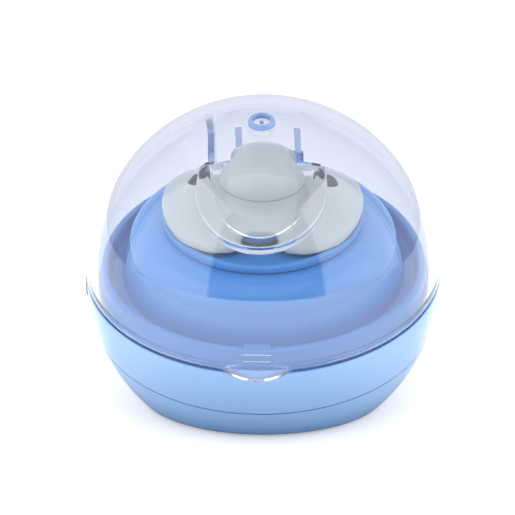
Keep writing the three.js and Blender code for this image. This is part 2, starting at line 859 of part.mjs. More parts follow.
function batteryCell() {
  const low = innerFloor + 2 * fitGap + padThickness;
  const half = cellLength / 2;
  const round = cellThickness * 0.3;
  const outline = new THREE.Shape();
  const [x0, x1] = [-half + round, half - round];
  const [z0, z1] = [low + round, low + cellThickness - round];
  outline.absarc(x1, z0, round, -Math.PI / 2, 0);
  outline.absarc(x1, z1, round, 0, Math.PI / 2);
  outline.absarc(x0, z1, round, Math.PI / 2, Math.PI);
  outline.absarc(x0, z0, round, Math.PI, Math.PI * 1.5);
  const cell = plateZ(outline, 0, cellWidth, Math.floor(arcCount / 3));
  return cell.rotateX(Math.PI / 2).translate(0, cellFront + cellWidth, 0);
}

function batteryPad() {
  const low = innerFloor + fitGap;
  const half = cellLength / 2 - padInset;
  return block(
    [-half, half],
    [cellFront + padInset, cellFront + cellWidth - padInset],
    [low, low + padThickness],
  );
}

// From the end of the cell up to the underside of the board, in the standing frame
function batteryLead(index) {
  const x = -(cellLength / 2 + fitGap);
  const y = cellFront + cellWidth + (index - 1.5) * leadPitch;
  const z = innerFloor + padThickness + cellThickness / 2;
  const back = y + leadPitch / 2;
  const board = ballHeight + boardBottom / Math.cos(lean) + back * Math.tan(lean);
  const top = board - leadRadius - fitGap;
  const out = x - leadPitch * 2;
  const curve = new THREE.CatmullRomCurve3([
    new THREE.Vector3(x, y, z),
    new THREE.Vector3(x - leadPitch / 2, y, z),
    new THREE.Vector3(x - leadPitch * 1.5, y + leadPitch / 8, z + leadPitch),
    new THREE.Vector3(out, back, z + (top - z) * leadBendShare),
    new THREE.Vector3(out, back, top - leadPitch),
    new THREE.Vector3(out, back, top),
  ]);
  return tube(curve, leadRadius, leadSteps, leadSides);
}

// From under the lamp board, round the cap and up to the main board, in the case frame
function lampLead(index) {
  const x = (index - 0.5) * leadPitch;
  const outside = cupOuter + fitGap + capWall + leadRadius * 4;
  const floor = capBottom - leadRadius * 4;
  const curve = new THREE.CatmullRomCurve3([
    new THREE.Vector3(x, -capOpening / 2, lampBoardBottom - fitGap),
    new THREE.Vector3(x, -capOpening / 2, lampBoardBottom - leadRadius * 2),
    new THREE.Vector3(x, -capOpening * 0.6, capBottom),
    new THREE.Vector3(x, -(capOpening + outside) / 2, floor - leadRadius),
    new THREE.Vector3(x, -outside, capBottom),
    new THREE.Vector3(x, -outside - leadRadius, boardBottom - leadPitch),
    new THREE.Vector3(x, -outside - leadRadius, boardBottom - fitGap),
  ]);
  return tube(curve, leadRadius, leadSteps + arcCount / 2, leadSides);
}

// Pacifier: shield, teat, knob and ring handle

// Half of the shield's outline as shares of its half length and half width, from one side's end
// to the edge of the nose notch
const shieldOutlineShares = [
  [1, 0], [0.96, 0.37], [0.86, 0.64], [0.735, 0.815], [0.58, 0.93], [0.42, 0.99], [0.29, 0.995],
  [0.2, 0.955],
];
const notchShares = [0.12, 0.84];

function shieldOutline() {
  const quarter = shieldOutlineShares.map(([x, y]) => [x * shieldHalfLength, y * shieldHalfWidth]);
  const notch = notchShares[0] * shieldHalfLength;
  const deep = notchShares[1] * shieldHalfWidth;
  const right = [...quarter, [notch, deep]];
  const half = [...right, ...right.map(([x, y]) => [-x, y]).reverse()];
  const other = half.map(([x, y]) => [-x, -y]).slice(1, -1);
  const curve = new THREE.CatmullRomCurve3(
    [...half, ...other].map(([x, y]) => new THREE.Vector3(x, y, 0)), true, "centripetal",
  );
  return new THREE.Shape(curve.getPoints(arcCount * 6).slice(1).map(({ x, y }) => new THREE.Vector2(x, y)));
}

function domedShell(cutBelow) {
  const unit = (long, short, rise) => new THREE.SphereGeometry(1, aroundCount * 0.75, Math.floor(aroundCount * 0.4))
    .rotateX(Math.PI / 2).scale(long, short, rise).translate(0, 0, shieldCurveCentre);
  const t = shieldThickness;
  const outer = unit(shieldCurveLong, shieldCurveShort, shieldRise);
  const inner = unit(shieldCurveLong - t, shieldCurveShort - t, shieldRise - t);
  const reach = ballRadius;
  return cut(outer, inner, block([-reach, reach], [-reach, reach], [-reach, cutBelow]));
}

function shieldVentHole(side) {
  const length = ventHoleLength - ventHoleWidth;
  const outline = new THREE.Shape();
  outline.absarc(0, length / 2, ventHoleWidth / 2, 0, Math.PI);
  outline.absarc(0, -length / 2, ventHoleWidth / 2, Math.PI, Math.PI * 2);
  const hole = plateZ(outline, 0, ballRadius, Math.floor(arcCount / 2));
  return hole.rotateZ(side * 0.35).translate(side * ventHoleOut, ventHoleBack, 0);
}

function pacifierShield() {
  const prism = plateZ(shieldOutline(), 0, ballRadius);
  const shell = common(domedShell(shieldSeat), prism);
  const bore = disc(shieldBore, 0, ballRadius, aroundCount / 2);
  return cut(shell, bore, shieldVentHole(-1), shieldVentHole(1));
}

function pacifierTeat() {
  const top = teatTop - teatFlangeThickness * 0.3;
  const tip = top - teatLength;
  const under = top - teatFlangeThickness;
  const rim = teatFlangeRadius;
  const outside = [
    [plugRadius + fitGap, top],
    [rim * 0.6, top - fitGap],
    [rim, under],
    [rim, under - teatFlangeThickness],
    [teatNeckRadius * 1.2, under - teatFlangeThickness * 1.5],
    [teatNeckRadius, top - teatLength * 0.22],
    [teatNeckRadius * 1.08, top - teatLength * 0.36],
    [teatBulbRadius * 0.95, top - teatLength * 0.58],
    [teatBulbRadius, top - teatLength * 0.7],
    [teatBulbRadius * 0.86, top - teatLength * 0.86],
    [teatBulbRadius * 0.45, top - teatLength * 0.975],
    [0, tip],
  ];
  const hollow = plugRadius + fitGap;
  const inside = arc(hollow, tip + teatTipWall + hollow, -90, 0, arcCount / 2);
  const teat = turned([...outside, ...inside], aroundCount / 2);
  const neck = top - teatLength * 0.38;
  const bulb = top - teatLength * 0.7;
  const { position } = teat.attributes;
  for (let i = 0; i < position.count; i++) {
    const share = THREE.MathUtils.clamp((neck - position.getZ(i)) / (neck - bulb), 0, 1);
    position.setY(i, position.getY(i) * THREE.MathUtils.lerp(1, teatFlatnessShare, share));
  }
  return teat;
}

function pacifierKnob() {
  const neckBottom = shieldTop + fitGap;
  const dome = arc(1, 0, 0, 90, arcCount - 3)
    .map(([r, z]) => [r * knobRadius, knobRimHeight + z * knobRise]);
  const body = turned([
    [0, neckBottom - plugReach],
    [plugRadius, neckBottom - plugReach],
    [plugRadius, neckBottom],
    [knobNeckRadius, neckBottom],
    [knobNeckRadius + knobSkirt / 3, neckBottom + knobSkirt / 3],
    [knobRadius - knobSkirt / 6, knobRimHeight - knobSkirt / 2],
    ...dome,
  ], aroundCount * 0.75);
  const low = knobRimHeight - knobSkirt;
  const reach = knobRadius * 1.5;
  const cheek = knobRadius * 0.63;
  const outline = (side) => new THREE.Shape([
    [knobRadius * 1.05, -ringPivotBack * 0.8],
    [reach, -ringPivotBack * 0.8],
    [reach, reach],
    [cheek, reach],
    [cheek, ringPivotBack * 2.2],
  ].map(([x, y]) => new THREE.Vector2(side * x, y)));
  const recesses = [-1, 1].map((side) => plateZ(outline(side), low, ballRadius));
  const bore = ringPinRadius + pinClearance;
  const [near, far] = [ringPinEnd - fitGap, knobRadius + overrun];
  const holes = [[near, far], [-far, -near]].map(([from, to]) => (
    rodX(bore, from, to, ringPivotBack, ringPivotHeight, aroundCount / 4)
  ));
  return cut(body, ...recesses, ...holes);
}

// The ring's line in its own plane, from the left arm round the front to the right arm
function ringLine() {
  const bend = ringRodRadius * 1.3;
  const deep = ringLength - ringStraight;
  const arm = [[ringHalfWidth - bend, 0], [ringHalfWidth - bend * 0.25, -bend * 0.35], [ringHalfWidth, -bend * 1.2]];
  const count = arcCount * 2;
  const bow = Array.from({ length: count + 1 }, (_, i) => {
    const angle = (Math.PI * i) / count;
    return [ringHalfWidth * Math.cos(angle), -ringStraight - deep * Math.sin(angle)];
  });
  const line = [...arm, ...bow, ...arm.map(([x, y]) => [-x, y]).reverse()];
  return new THREE.CatmullRomCurve3(line.map(([x, y]) => new THREE.Vector3(x, y, 0)));
}

function pacifierRing() {
  const rod = tube(ringLine(), ringRodRadius, arcCount * 5, 10);
  const outer = ringHalfWidth - ringRodRadius * 0.5;
  const ends = [[ringStubEnd, outer], [-outer, -ringStubEnd]].map(([from, to]) => (
    rodX(ringStubRadius, from, to, 0, 0, aroundCount / 4)
  ));
  const pins = [[ringPinEnd, outer], [-outer, -ringPinEnd]].map(([from, to]) => (
    rodX(ringPinRadius, from, to, 0, 0, aroundCount / 4)
  ));
  const whole = join(rod, ...ends, ...pins).rotateX(THREE.MathUtils.degToRad(ringDroop));
  return whole.translate(0, ringPivotBack, ringPivotHeight);
}

// Finishes

function finish(color, roughness, metalness = 0, opacity = 1) {
  const transparent = opacity < 1;
  return new THREE.MeshStandardMaterial({ color, roughness, metalness, opacity, transparent });
}
const clearBlue = finish("#c9d6f2", 0.08, 0, 0.35);
const clearRing = finish("#dfe6f2", 0.1, 0, 0.5);
const blueShell = finish("#9dbce8", 0.45);
const blueTray = finish("#86aade", 0.4);
const blueCup = finish("#7fa8de", 0.35);
const greyGreen = finish("#c4d0da", 0.35);
const silicone = finish("#e9e2cf", 0.3, 0, 0.7);
const rubber = finish("#5f6b7a", 0.8);
const steel = finish("#c3c6ca", 0.3, 1);
const quartz = finish("#e8eefc", 0.05, 0, 0.4);
const lampWhite = finish("#e9ebee", 0.5);
const boardGreen = finish("#2f6b4a", 0.6);
const chipBlack = finish("#25272b", 0.6);
const foilSilver = finish("#b9bfc7", 0.35, 0.8);
const foamGrey = finish("#6f747b", 0.95);
const redWire = finish("#c4392f", 0.5);
const blackWire = finish("#26282c", 0.5);

// Assembly

const caseFrame = new THREE.Group();
caseFrame.applyMatrix4(caseToStanding);
const standing = new THREE.Group();
standing.add(caseFrame);

function add(group, name, geometry, material) {
  if (!geometry.attributes.normal) geometry.computeVertexNormals();
  const mesh = new THREE.Mesh(geometry, material);
  mesh.name = name;
  group.add(mesh);
}

const lid = new THREE.Group();
const pacifier = new THREE.Group();
caseFrame.add(lid, pacifier);
add(lid, "lid_shell", lidShell(), clearBlue);
add(pacifier, "pacifier_shield", pacifierShield(), greyGreen);
add(pacifier, "pacifier_teat", pacifierTeat(), silicone);
add(pacifier, "pacifier_knob", pacifierKnob(), greyGreen);
add(pacifier, "pacifier_ring", pacifierRing(), clearRing);

add(caseFrame, "base_band", baseBand(), blueShell);
add(caseFrame, "lower_shell", lowerShell(), blueShell);
add(caseFrame, "inner_tray", innerTray(), blueTray);
add(caseFrame, "holder_cup", holderCup(), blueCup);
add(caseFrame, "hinge_pin", hingePin(), steel);
add(caseFrame, "power_button", powerButton(), blueTray);
add(caseFrame, "button_switch", buttonSwitch(), chipBlack);
add(caseFrame, "interlock_plunger", interlockPlunger(), lampWhite);
add(caseFrame, "lid_switch", lidSwitch(), chipBlack);
add(caseFrame, "window_seal", windowSeal(), silicone);
add(caseFrame, "uv_window", uvWindow(), quartz);
add(caseFrame, "window_spacer", windowSpacer(), lampWhite);
add(caseFrame, "lamp_board", lampBoard(), foilSilver);
add(caseFrame, "lamp_cap", lampCap(), lampWhite);
add(caseFrame, "main_board", mainBoard(), boardGreen);
add(caseFrame, "charging_socket", chargingSocket(), steel);
add(caseFrame, "control_chip", controlChip(), chipBlack);
for (let i = 0; i < ledCount; i++) add(caseFrame, `uv_led_${i + 1}`, uvLed(i), lampWhite);
postPlaces.forEach((place, i) => add(caseFrame, `shell_screw_${i + 1}`, screw(place), steel));
[redWire, blackWire].forEach((colour, i) => {
  add(caseFrame, `lamp_lead_${i + 1}`, lampLead(i), colour);
  add(standing, `battery_lead_${i + 1}`, batteryLead(i), colour);
});
add(standing, "battery_cell", batteryCell(), foilSilver);
add(standing, "battery_pad", batteryPad(), foamGrey);
footPlaces().forEach((place, i) => add(standing, `rubber_foot_${i + 1}`, rubberFoot(place), rubber));

// The part's origin is at the middle of its footprint, on the table
const part = new THREE.Group();
part.add(standing);
const bounds = new THREE.Box3().setFromObject(part, true);
standing.position.set(-(bounds.min.x + bounds.max.x) / 2, -(bounds.min.y + bounds.max.y) / 2, 0);

export default part;
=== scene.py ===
import math

import bmesh
import bpy
from mathutils import Matrix, Vector


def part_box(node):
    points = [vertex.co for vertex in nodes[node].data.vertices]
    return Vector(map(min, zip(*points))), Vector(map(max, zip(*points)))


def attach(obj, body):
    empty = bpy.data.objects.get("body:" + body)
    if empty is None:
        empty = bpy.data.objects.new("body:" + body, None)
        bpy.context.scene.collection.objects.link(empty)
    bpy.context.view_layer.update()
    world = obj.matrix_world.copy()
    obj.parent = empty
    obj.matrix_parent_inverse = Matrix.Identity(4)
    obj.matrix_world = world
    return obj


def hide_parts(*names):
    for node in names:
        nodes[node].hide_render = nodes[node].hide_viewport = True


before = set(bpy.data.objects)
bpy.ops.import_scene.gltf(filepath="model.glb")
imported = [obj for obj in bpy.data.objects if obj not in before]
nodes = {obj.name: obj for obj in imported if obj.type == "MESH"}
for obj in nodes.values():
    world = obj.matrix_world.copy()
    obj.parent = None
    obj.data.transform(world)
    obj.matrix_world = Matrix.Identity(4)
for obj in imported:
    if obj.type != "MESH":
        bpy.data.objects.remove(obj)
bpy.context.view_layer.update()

# The case frame of the model: millimetres, origin at the middle of the base's ball, +Z square to
# the parting plane. The feet stand evenly round that middle.
LEAN = math.radians(15.7)
BALL_HEIGHT = 29.6
feet = [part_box(f"rubber_foot_{i}") for i in (1, 2, 3, 4)]
AXIS_X = sum(lo[0] + hi[0] for lo, hi in feet) / (2 * len(feet))
AXIS_Y = sum(lo[1] + hi[1] for lo, hi in feet) / (2 * len(feet))
MM = Matrix.Scale(0.001, 4)
STANDING = Matrix.Translation((AXIS_X, AXIS_Y, 0)) @ MM
CASE = STANDING @ Matrix.Translation((0, 0, BALL_HEIGHT)) @ Matrix.Rotation(LEAN, 4, "X")

# Sizes that the whole case shares, in millimetres. The drawn ball is smooth, so it is a little
# under the model's 40 and stays inside its facets.
BALL = 39.95
LID_INNER = 37.4
BASE_INNER = 37.8
LIFT = 0.66
EDGE = 0.35
FIT = 0.3
PAST_BALL = 41
OVERRUN = 1

# Steps round a full turn: of the case, of forms cut from a short stretch of it, of small pieces
# and of pins
AROUND = 192
FINE_AROUND = 2 * AROUND
SMALL_AROUND = 64
PIN_AROUND = 32

# The distance under which two points are one, and the radius under which a point is on the axis
WELD = 1e-4
ON_AXIS = 1e-6

# Colour and materials


def colour(text):
    """An sRGB hex value as the linear colour a shader takes."""
    parts = [int(text[i:i + 2], 16) / 255 for i in (1, 3, 5)]
    return (*[p / 12.92 if p < 0.04045 else ((p + 0.055) / 1.055) ** 2.4 for p in parts], 1)


def node(tree, kind, links=(), values=(), **settings):
    """Adds a node. Settings name its properties or its sockets, links are (socket, source) and
    values are (socket number, value), for sockets that share a name."""
    made = tree.nodes.new(kind)
    for name, value in settings.items():
        if hasattr(made, name):
            setattr(made, name, value)
        else:
            made.inputs[name.replace("_", " ")].default_value = value
    for number, value in values:
        made.inputs[number].default_value = value
    for name, source in links:
        tree.links.new(source, made.inputs[name])
    return made


def material(name):
    made = bpy.data.materials.new(name)
    made.use_nodes = True
    made.node_tree.nodes.clear()
    return made, made.node_tree


# A moulded colour drifts over about this width, in millimetres
DRIFT_MM = 30
# Roughness varies by these shares, in a mould's texture and in a worn polish
MOULD_SHARE = 0.1
WEAR_SHARE = 0.3


def moulded(name, hex_colour, roughness, grain_mm, grain_depth_mm, drift=0.03, see_through=0.0):
    """Injection-moulded plastic: a faint drift of colour, fine mould texture and an even gloss."""
    made, tree = material(name)
    where = node(tree, "ShaderNodeTexCoord").outputs["Object"]
    drifting = node(
        tree, "ShaderNodeTexNoise", [("Vector", where)], Scale=1000 / DRIFT_MM, Detail=2.0,
    )
    base = colour(hex_colour)
    darker = (*[c * (1 - drift) for c in base[:3]], 1)
    lighter = (*[min(1, c * (1 + drift)) for c in base[:3]], 1)
    ramp = node(
        tree, "ShaderNodeMix", [(0, drifting.outputs["Fac"])], [(6, darker), (7, lighter)],
        data_type="RGBA",
    )
    grain = node(
        tree, "ShaderNodeTexNoise", [("Vector", where)], Scale=1000 / grain_mm, Detail=3.0,
    )
    rough = node(
        tree, "ShaderNodeMapRange", [("Value", grain.outputs["Fac"])],
        To_Min=roughness * (1 - MOULD_SHARE), To_Max=roughness * (1 + MOULD_SHARE),
    )
    bump = node(
        tree, "ShaderNodeBump", [("Height", grain.outputs["Fac"])],
        Distance=grain_depth_mm / 1000, Strength=1.0,
    )
    shader = node(
        tree, "ShaderNodeBsdfPrincipled",
        [("Base Color", ramp.outputs[2]), ("Roughness", rough.outputs["Result"]),
         ("Normal", bump.outputs["Normal"])],
        IOR=1.5, Transmission_Weight=see_through,
    )
    node(tree, "ShaderNodeOutputMaterial", [("Surface", shader.outputs[0])])
    return made


def clear(name, hex_colour, per_metre, grain_mm, grain_depth_mm, ior=1.49):
    """Clear moulded plastic or glass: its tint deepens with thickness, and lamps shine through."""
    made, tree = material(name)
    where = node(tree, "ShaderNodeTexCoord").outputs["Object"]
    grain = node(
        tree, "ShaderNodeTexNoise", [("Vector", where)], Scale=1000 / grain_mm, Detail=1.0,
    )
    bump = node(
        tree, "ShaderNodeBump", [("Height", grain.outputs["Fac"])],
        Distance=grain_depth_mm / 1000, Strength=1.0,
    )
    shader = node(
        tree, "ShaderNodeBsdfPrincipled", [("Normal", bump.outputs["Normal"])],
        Base_Color=(1, 1, 1, 1), Roughness=0.0, IOR=ior, Transmission_Weight=1.0,
    )
    lamps = node(tree, "ShaderNodeBsdfTransparent")
    path = node(tree, "ShaderNodeLightPath")
    mixed = node(
        tree, "ShaderNodeMixShader",
        [(0, path.outputs["Is Shadow Ray"]), (1, shader.outputs[0]), (2, lamps.outputs[0])],
    )
    inside = node(
        tree, "ShaderNodeVolumeAbsorption", Color=colour(hex_colour), Density=per_metre,
    )
    node(
        tree, "ShaderNodeOutputMaterial",
        [("Surface", mixed.outputs[0]), ("Volume", inside.outputs[0])],
    )
    return made


def metal(name, hex_colour, roughness, grain_mm):
    """Bare metal with fine wear in its polish."""
    made, tree = material(name)
    where = node(tree, "ShaderNodeTexCoord").outputs["Object"]
    grain = node(
        tree, "ShaderNodeTexNoise", [("Vector", where)], Scale=1000 / grain_mm, Detail=4.0,
    )
    rough = node(
        tree, "ShaderNodeMapRange", [("Value", grain.outputs["Fac"])],
        To_Min=roughness * (1 - WEAR_SHARE), To_Max=roughness * (1 + WEAR_SHARE),
    )
    shader = node(
        tree, "ShaderNodeBsdfPrincipled", [("Roughness", rough.outputs["Result"])],
        Base_Color=colour(hex_colour), Metallic=1.0,
    )
    node(tree, "ShaderNodeOutputMaterial", [("Surface", shader.outputs[0])])
    return made


# Each moulded finish gives its colour, its roughness, and its grain's width and depth in
# millimetres. A clear one gives its tint and how strong it is per metre, then its waves.

# ABS of the base, moulded in a polished mould: baby blue with an even soft gloss
BLUE_ABS = moulded("blue_abs_moulded", "#84addd", 0.2, 0.5, 0.0003, drift=0.01)
# ABS of tray, cup and button, moulded in a brighter mould: deeper blue with clearer reflections
TRAY_ABS = moulded("tray_abs_moulded", "#428ccb", 0.14, 0.6, 0.0001, drift=0.01)
# Polypropylene of the pacifier, moulded: grey with a green cast and a waxy gloss
GREY_PP = moulded("grey_polypropylene_moulded", "#b6bcb6", 0.14, 0.5, 0.0004, drift=0.01)
# SAN of the lid, moulded clear with a blue tint: faint flow waves, and deeper blue where it is
# seen along the wall. The waves are drawn 9 mm wide.
LID_SAN = clear("clear_blue_san_moulded", "#9fbcf2", 72, 9, 0.003, ior=1.57)
# The same SAN, moulded as ribs on the wall: a slightly milky blue
RIB_SAN = moulded(
    "rib_san_moulded", "#dbe8ff", 0.12, 0.8, 0.0003, drift=0.01, see_through=0.75,
)
# The same SAN, moulded round the gate where the melt came in: deeper blue and cloudier
GATE_SAN = moulded(
    "gate_san_moulded", "#94b4e8", 0.12, 0.8, 0.0003, drift=0.01, see_through=0.3,
)
# Copolyester of the ring handle, moulded: colourless, with bright lines along its bends
RING_CLEAR = clear("clear_copolyester_moulded", "#f2f6fa", 30, 6, 0.003)
# Fused quartz of the lamp window, polished: flat and colourless
QUARTZ = clear("fused_quartz_polished", "#f4f8ff", 20, 8, 0.0005, ior=1.46)
# Silicone rubber of teat and seal, moulded: milky, with a soft sheen
SILICONE = moulded("silicone_moulded", "#e4dccb", 0.35, 0.8, 0.002)
# Nylon of plunger, cap, spacer and lamps, moulded: white with a dull skin
WHITE_NYLON = moulded("white_nylon_moulded", "#e3e6ea", 0.5, 0.4, 0.003)
# Epoxy of switches and chip, moulded: nearly black, matt and finely pitted
BLACK_EPOXY = moulded("black_epoxy_moulded", "#25272b", 0.55, 0.3, 0.004)
# Glass-fibre board, lacquered: green that is patchy over the fibres, with a soft shine
BOARD = moulded("circuit_board_lacquered", "#2f6b4a", 0.35, 0.8, 0.003, drift=0.12)
# Rubber of the feet, moulded: grey-blue and quite matt
RUBBER = moulded("foot_rubber_moulded", "#5f6b7a", 0.8, 0.5, 0.01)
# Foam of the battery pad, cut: grey and open-pored, without any shine
FOAM = moulded("foam_cut", "#6f747b", 0.95, 0.9, 0.08, drift=0.15)
# PVC of the wires, extruded: plain red and black with a slight shine
RED_PVC = moulded("red_pvc_extruded", "#c4392f", 0.4, 0.6, 0.002)
BLACK_PVC = moulded("black_pvc_extruded", "#26282c", 0.4, 0.6, 0.002)
# Steel of pin, screws and socket, nickel-plated: warm white metal, bright but not mirror-like
STEEL = metal("steel_nickel_plated", "#c3c6ca", 0.25, 0.4)
# Aluminium of cell and lamp board, rolled: satin silver
ALUMINIUM = metal("aluminium_rolled", "#c2c7ce", 0.35, 0.3)

# Mesh tools


def turn(points, steps=AROUND):
    """A profile of (radius, height) turned all the way round Z."""
    bm = bmesh.new()
    corners = [bm.verts.new((r, 0, z)) for r, z in points]
    edges = [bm.edges.new(pair) for pair in zip(corners, corners[1:])]
    if points[0][0] > ON_AXIS or points[-1][0] > ON_AXIS:
        edges.append(bm.edges.new((corners[-1], corners[0])))
    bmesh.ops.spin(
        bm, geom=corners + edges, cent=(0, 0, 0), axis=(0, 0, 1), angle=math.tau, steps=steps,
        use_merge=True,
    )
    bmesh.ops.remove_doubles(bm, verts=bm.verts, dist=WELD)
    bmesh.ops.delete(bm, geom=[e for e in bm.edges if not e.link_faces], context="EDGES")
    bmesh.ops.recalc_face_normals(bm, faces=bm.faces)
    return bm


def arc(radius, middle, start, end, count):
    """Points of a circle about (0, middle), from one angle above the horizontal to another."""
    points = []
    for i in range(count + 1):
        angle = math.radians(start + (end - start) * i / count)
        out = radius * math.cos(angle)
        points.append((out if out > ON_AXIS else 0, middle + radius * math.sin(angle)))
    return points


def angle_at(height, radius):
    """The angle above the horizontal at which a ball's surface is at a height over its middle."""
    return math.degrees(math.asin(height / radius))


def round_end(radius, start, end, count):
    """Points of a circle about the origin, between two angles."""
    angles = [math.radians(start + (end - start) * i / count) for i in range(count + 1)]
    return [(radius * math.cos(a), radius * math.sin(a)) for a in angles]


def slab(outline, low, high):
    """A flat outline in X and Y given thickness along Z."""
    bm = bmesh.new()
    face = bm.faces.new([bm.verts.new((x, y, low)) for x, y in outline])
    grown = bmesh.ops.extrude_face_region(bm, geom=[face])["geom"]
    risen = [v for v in grown if isinstance(v, bmesh.types.BMVert)]
    bmesh.ops.translate(bm, verts=risen, vec=(0, 0, high - low))
    bmesh.ops.recalc_face_normals(bm, faces=bm.faces)
    return bm


def side_slab(outline, left, right):
    """A flat outline in Y and Z given thickness along X."""
    bm = slab(outline, left, right)
    on_its_side = Matrix(((0, 0, 1, 0), (1, 0, 0, 0), (0, 1, 0, 0), (0, 0, 0, 1)))
    bmesh.ops.transform(bm, matrix=on_its_side, verts=bm.verts)
    return bm


def brick(low, high):
    """A box between two corners."""
    bm = bmesh.new()
    bmesh.ops.create_cube(bm, size=1)
    size = [b - a for a, b in zip(low, high)]
    middle = [(a + b) / 2 for a, b in zip(low, high)]
    placed = Matrix.Translation(middle) @ Matrix.Diagonal((*size, 1))
    bmesh.ops.transform(bm, matrix=placed, verts=bm.verts)
    return bm


def rod(radius, start, end, steps=48):
    """A round bar between two points."""
    start, end = Vector(start), Vector(end)
    along = (end - start).to_track_quat("Z", "Y").to_matrix().to_4x4()
    bm = bmesh.new()
    bmesh.ops.create_cone(
        bm, cap_ends=True, segments=steps, radius1=radius, radius2=radius,
        depth=(end - start).length, matrix=Matrix.Translation((start + end) / 2) @ along,
    )
    return bm


def ball(radius, middle=(0, 0, 0), steps=AROUND):
    bm = bmesh.new()
    bmesh.ops.create_uvsphere(
        bm, u_segments=steps, v_segments=steps // 2, radius=radius,
        matrix=Matrix.Translation(middle),
    )
    return bm


def loose(bm, name):
    """The bmesh as an object in the scene."""
    mesh = bpy.data.meshes.new(name)
    bm.to_mesh(mesh)
    bm.free()
    made = bpy.data.objects.new(name, mesh)
    bpy.context.scene.collection.objects.link(made)
    return made


def combined(first, *steps):
    """Joins or cuts bmeshes one after another. Each step is ("UNION", "DIFFERENCE" or "INTERSECT",
    bmesh)."""
    made = loose(first, "work")
    for way, other in steps:
        tool = loose(other, "tool")
        change = made.modifiers.new("change", "BOOLEAN")
        change.operation = way
        change.object = tool
        change.solver = "EXACT"
        seen = made.evaluated_get(bpy.context.evaluated_depsgraph_get())
        mesh = bpy.data.meshes.new_from_object(seen)
        made.modifiers.clear()
        before = made.data
        made.data = mesh
        bpy.data.meshes.remove(before)
        cutter = tool.data
        bpy.data.objects.remove(tool)
        bpy.data.meshes.remove(cutter)
    bm = bmesh.new()
    bm.from_mesh(made.data)
    last = made.data
    bpy.data.objects.remove(made)
    bpy.data.meshes.remove(last)
    bmesh.ops.remove_doubles(bm, verts=bm.verts, dist=WELD)
    return bm


# How far a corner may be off a ball and still belong to it
OFF_BALL = 0.02


def piece(bm, name, finish, body, slot, *stands_for, round_parts=(), angle=32):
    """Makes the bmesh a finished piece. round_parts are (radius, height of centre) of balls whose
    shading follows the true ball."""
    rounds = []
    for face in bm.faces:
        face.smooth = True
        found = None
        for radius, height in round_parts:
            centre = Vector((0, 0, height))
            offs = [v.co - centre for v in face.verts]
            if all(abs(o.length - radius) < OFF_BALL for o in offs):
                outward = face.normal.dot(face.calc_center_median() - centre) > 0
                found = [o.normalized() * (1 if outward else -1) for o in offs]
        rounds.append(found)
    mesh = bpy.data.meshes.new(name)
    bm.to_mesh(mesh)
    bm.free()
    mesh.set_sharp_from_angle(angle=math.radians(angle))
    if round_parts:
        normals = [Vector(n.vector) for n in mesh.corner_normals]
        for polygon, found in zip(mesh.polygons, rounds):
            if found:
                for loop, normal in zip(polygon.loop_indices, found):
                    normals[loop] = normal
        mesh.normals_split_custom_set(normals)
    mesh.transform(CASE)
    made = bpy.data.objects.new(name, mesh)
    bpy.context.scene.collection.objects.link(made)
    mesh.materials.append(finish)
    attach(made, body)
    if stands_for:
        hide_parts(*stands_for)
    return made


# Lid: clear dome with its top ring, back ribs, hinge arms, lifting tab and snap catch

HINGE_Y = 41.3
HINGE_Z = 0.33
KNUCKLE = 2.4
KNUCKLE_STEPS = 32
PIN_BORE = 1.1
LID_C = (0, 0, LIFT)
DOME_STEPS = 72
DOME_INNER_STEPS = 60
RIM_BEND = EDGE * 0.3
RIM_SETBACK = 0.1
RIM_ANGLE = 0.2

dome = turn(
    arc(BALL, LIFT, 90, angle_at(EDGE, BALL), DOME_STEPS)
    + [(BALL - RIM_BEND, LIFT + RIM_BEND), (BALL - EDGE, LIFT), (LID_INNER + RIM_SETBACK, LIFT)]
    + arc(LID_INNER, LIFT, RIM_ANGLE, 90, DOME_INNER_STEPS)
)
# The ring round the gate at the top, and the nub in it: (radius, height over the lid's middle)
gate_profile = [
    (1.9, 39.9), (3.1, 39.82), (3.08, 40.35), (2.95, 40.63), (2.7, 40.85), (2.4, 40.88), (2.1, 40.78),
    (1.95, 40.55), (1.88, 40.2),
]
NUB_AROUND = 24
nub_profile = [(0, 39.96), (0.5, 39.95), (0.5, 40.2), (0.3, 40.38), (0, 40.4)]
gate = turn([(r, LIFT + z) for r, z in gate_profile], SMALL_AROUND)
nub = turn([(r, LIFT + z) for r, z in nub_profile], NUB_AROUND)

# Ribs stand on the back wall. Their blanks reach from inside the chamber to past the wall.
RIB_X = 6.9
RIB_WIDTH = 1.5
RIB_DEPTH = 0.9
RIB_FOOT = 5.6
RIB_TOP = 19.3
RIB_SINK = 0.01
RIB_BLANK = (20, 40)
KEY_RIB_X = -13
KEY_RIB_FOOT = 5.3
KEY_RIB_TOP = 28


def back_rib(x):
    plate = brick(
        (x - RIB_WIDTH / 2, RIB_BLANK[0], RIB_FOOT), (x + RIB_WIDTH / 2, RIB_BLANK[1], RIB_TOP),
    )
    return combined(
        plate,
        ("INTERSECT", ball(LID_INNER - RIB_SINK, LID_C)),
        ("DIFFERENCE", ball(LID_INNER - RIB_DEPTH, LID_C)),
    )


# The key rib is taller and deeper, and its free edge is bent: (Y, Z)
key_rib_outline = [
    (28.7, KEY_RIB_FOOT), (RIB_BLANK[1], KEY_RIB_FOOT), (RIB_BLANK[1], KEY_RIB_TOP),
    (20.5, KEY_RIB_TOP), (26.2, 21), (26.5, 14.4),
]
key_rib = combined(
    side_slab(key_rib_outline, KEY_RIB_X - RIB_WIDTH / 2, KEY_RIB_X + RIB_WIDTH / 2),
    ("INTERSECT", ball(LID_INNER - RIB_SINK, LID_C)),
)

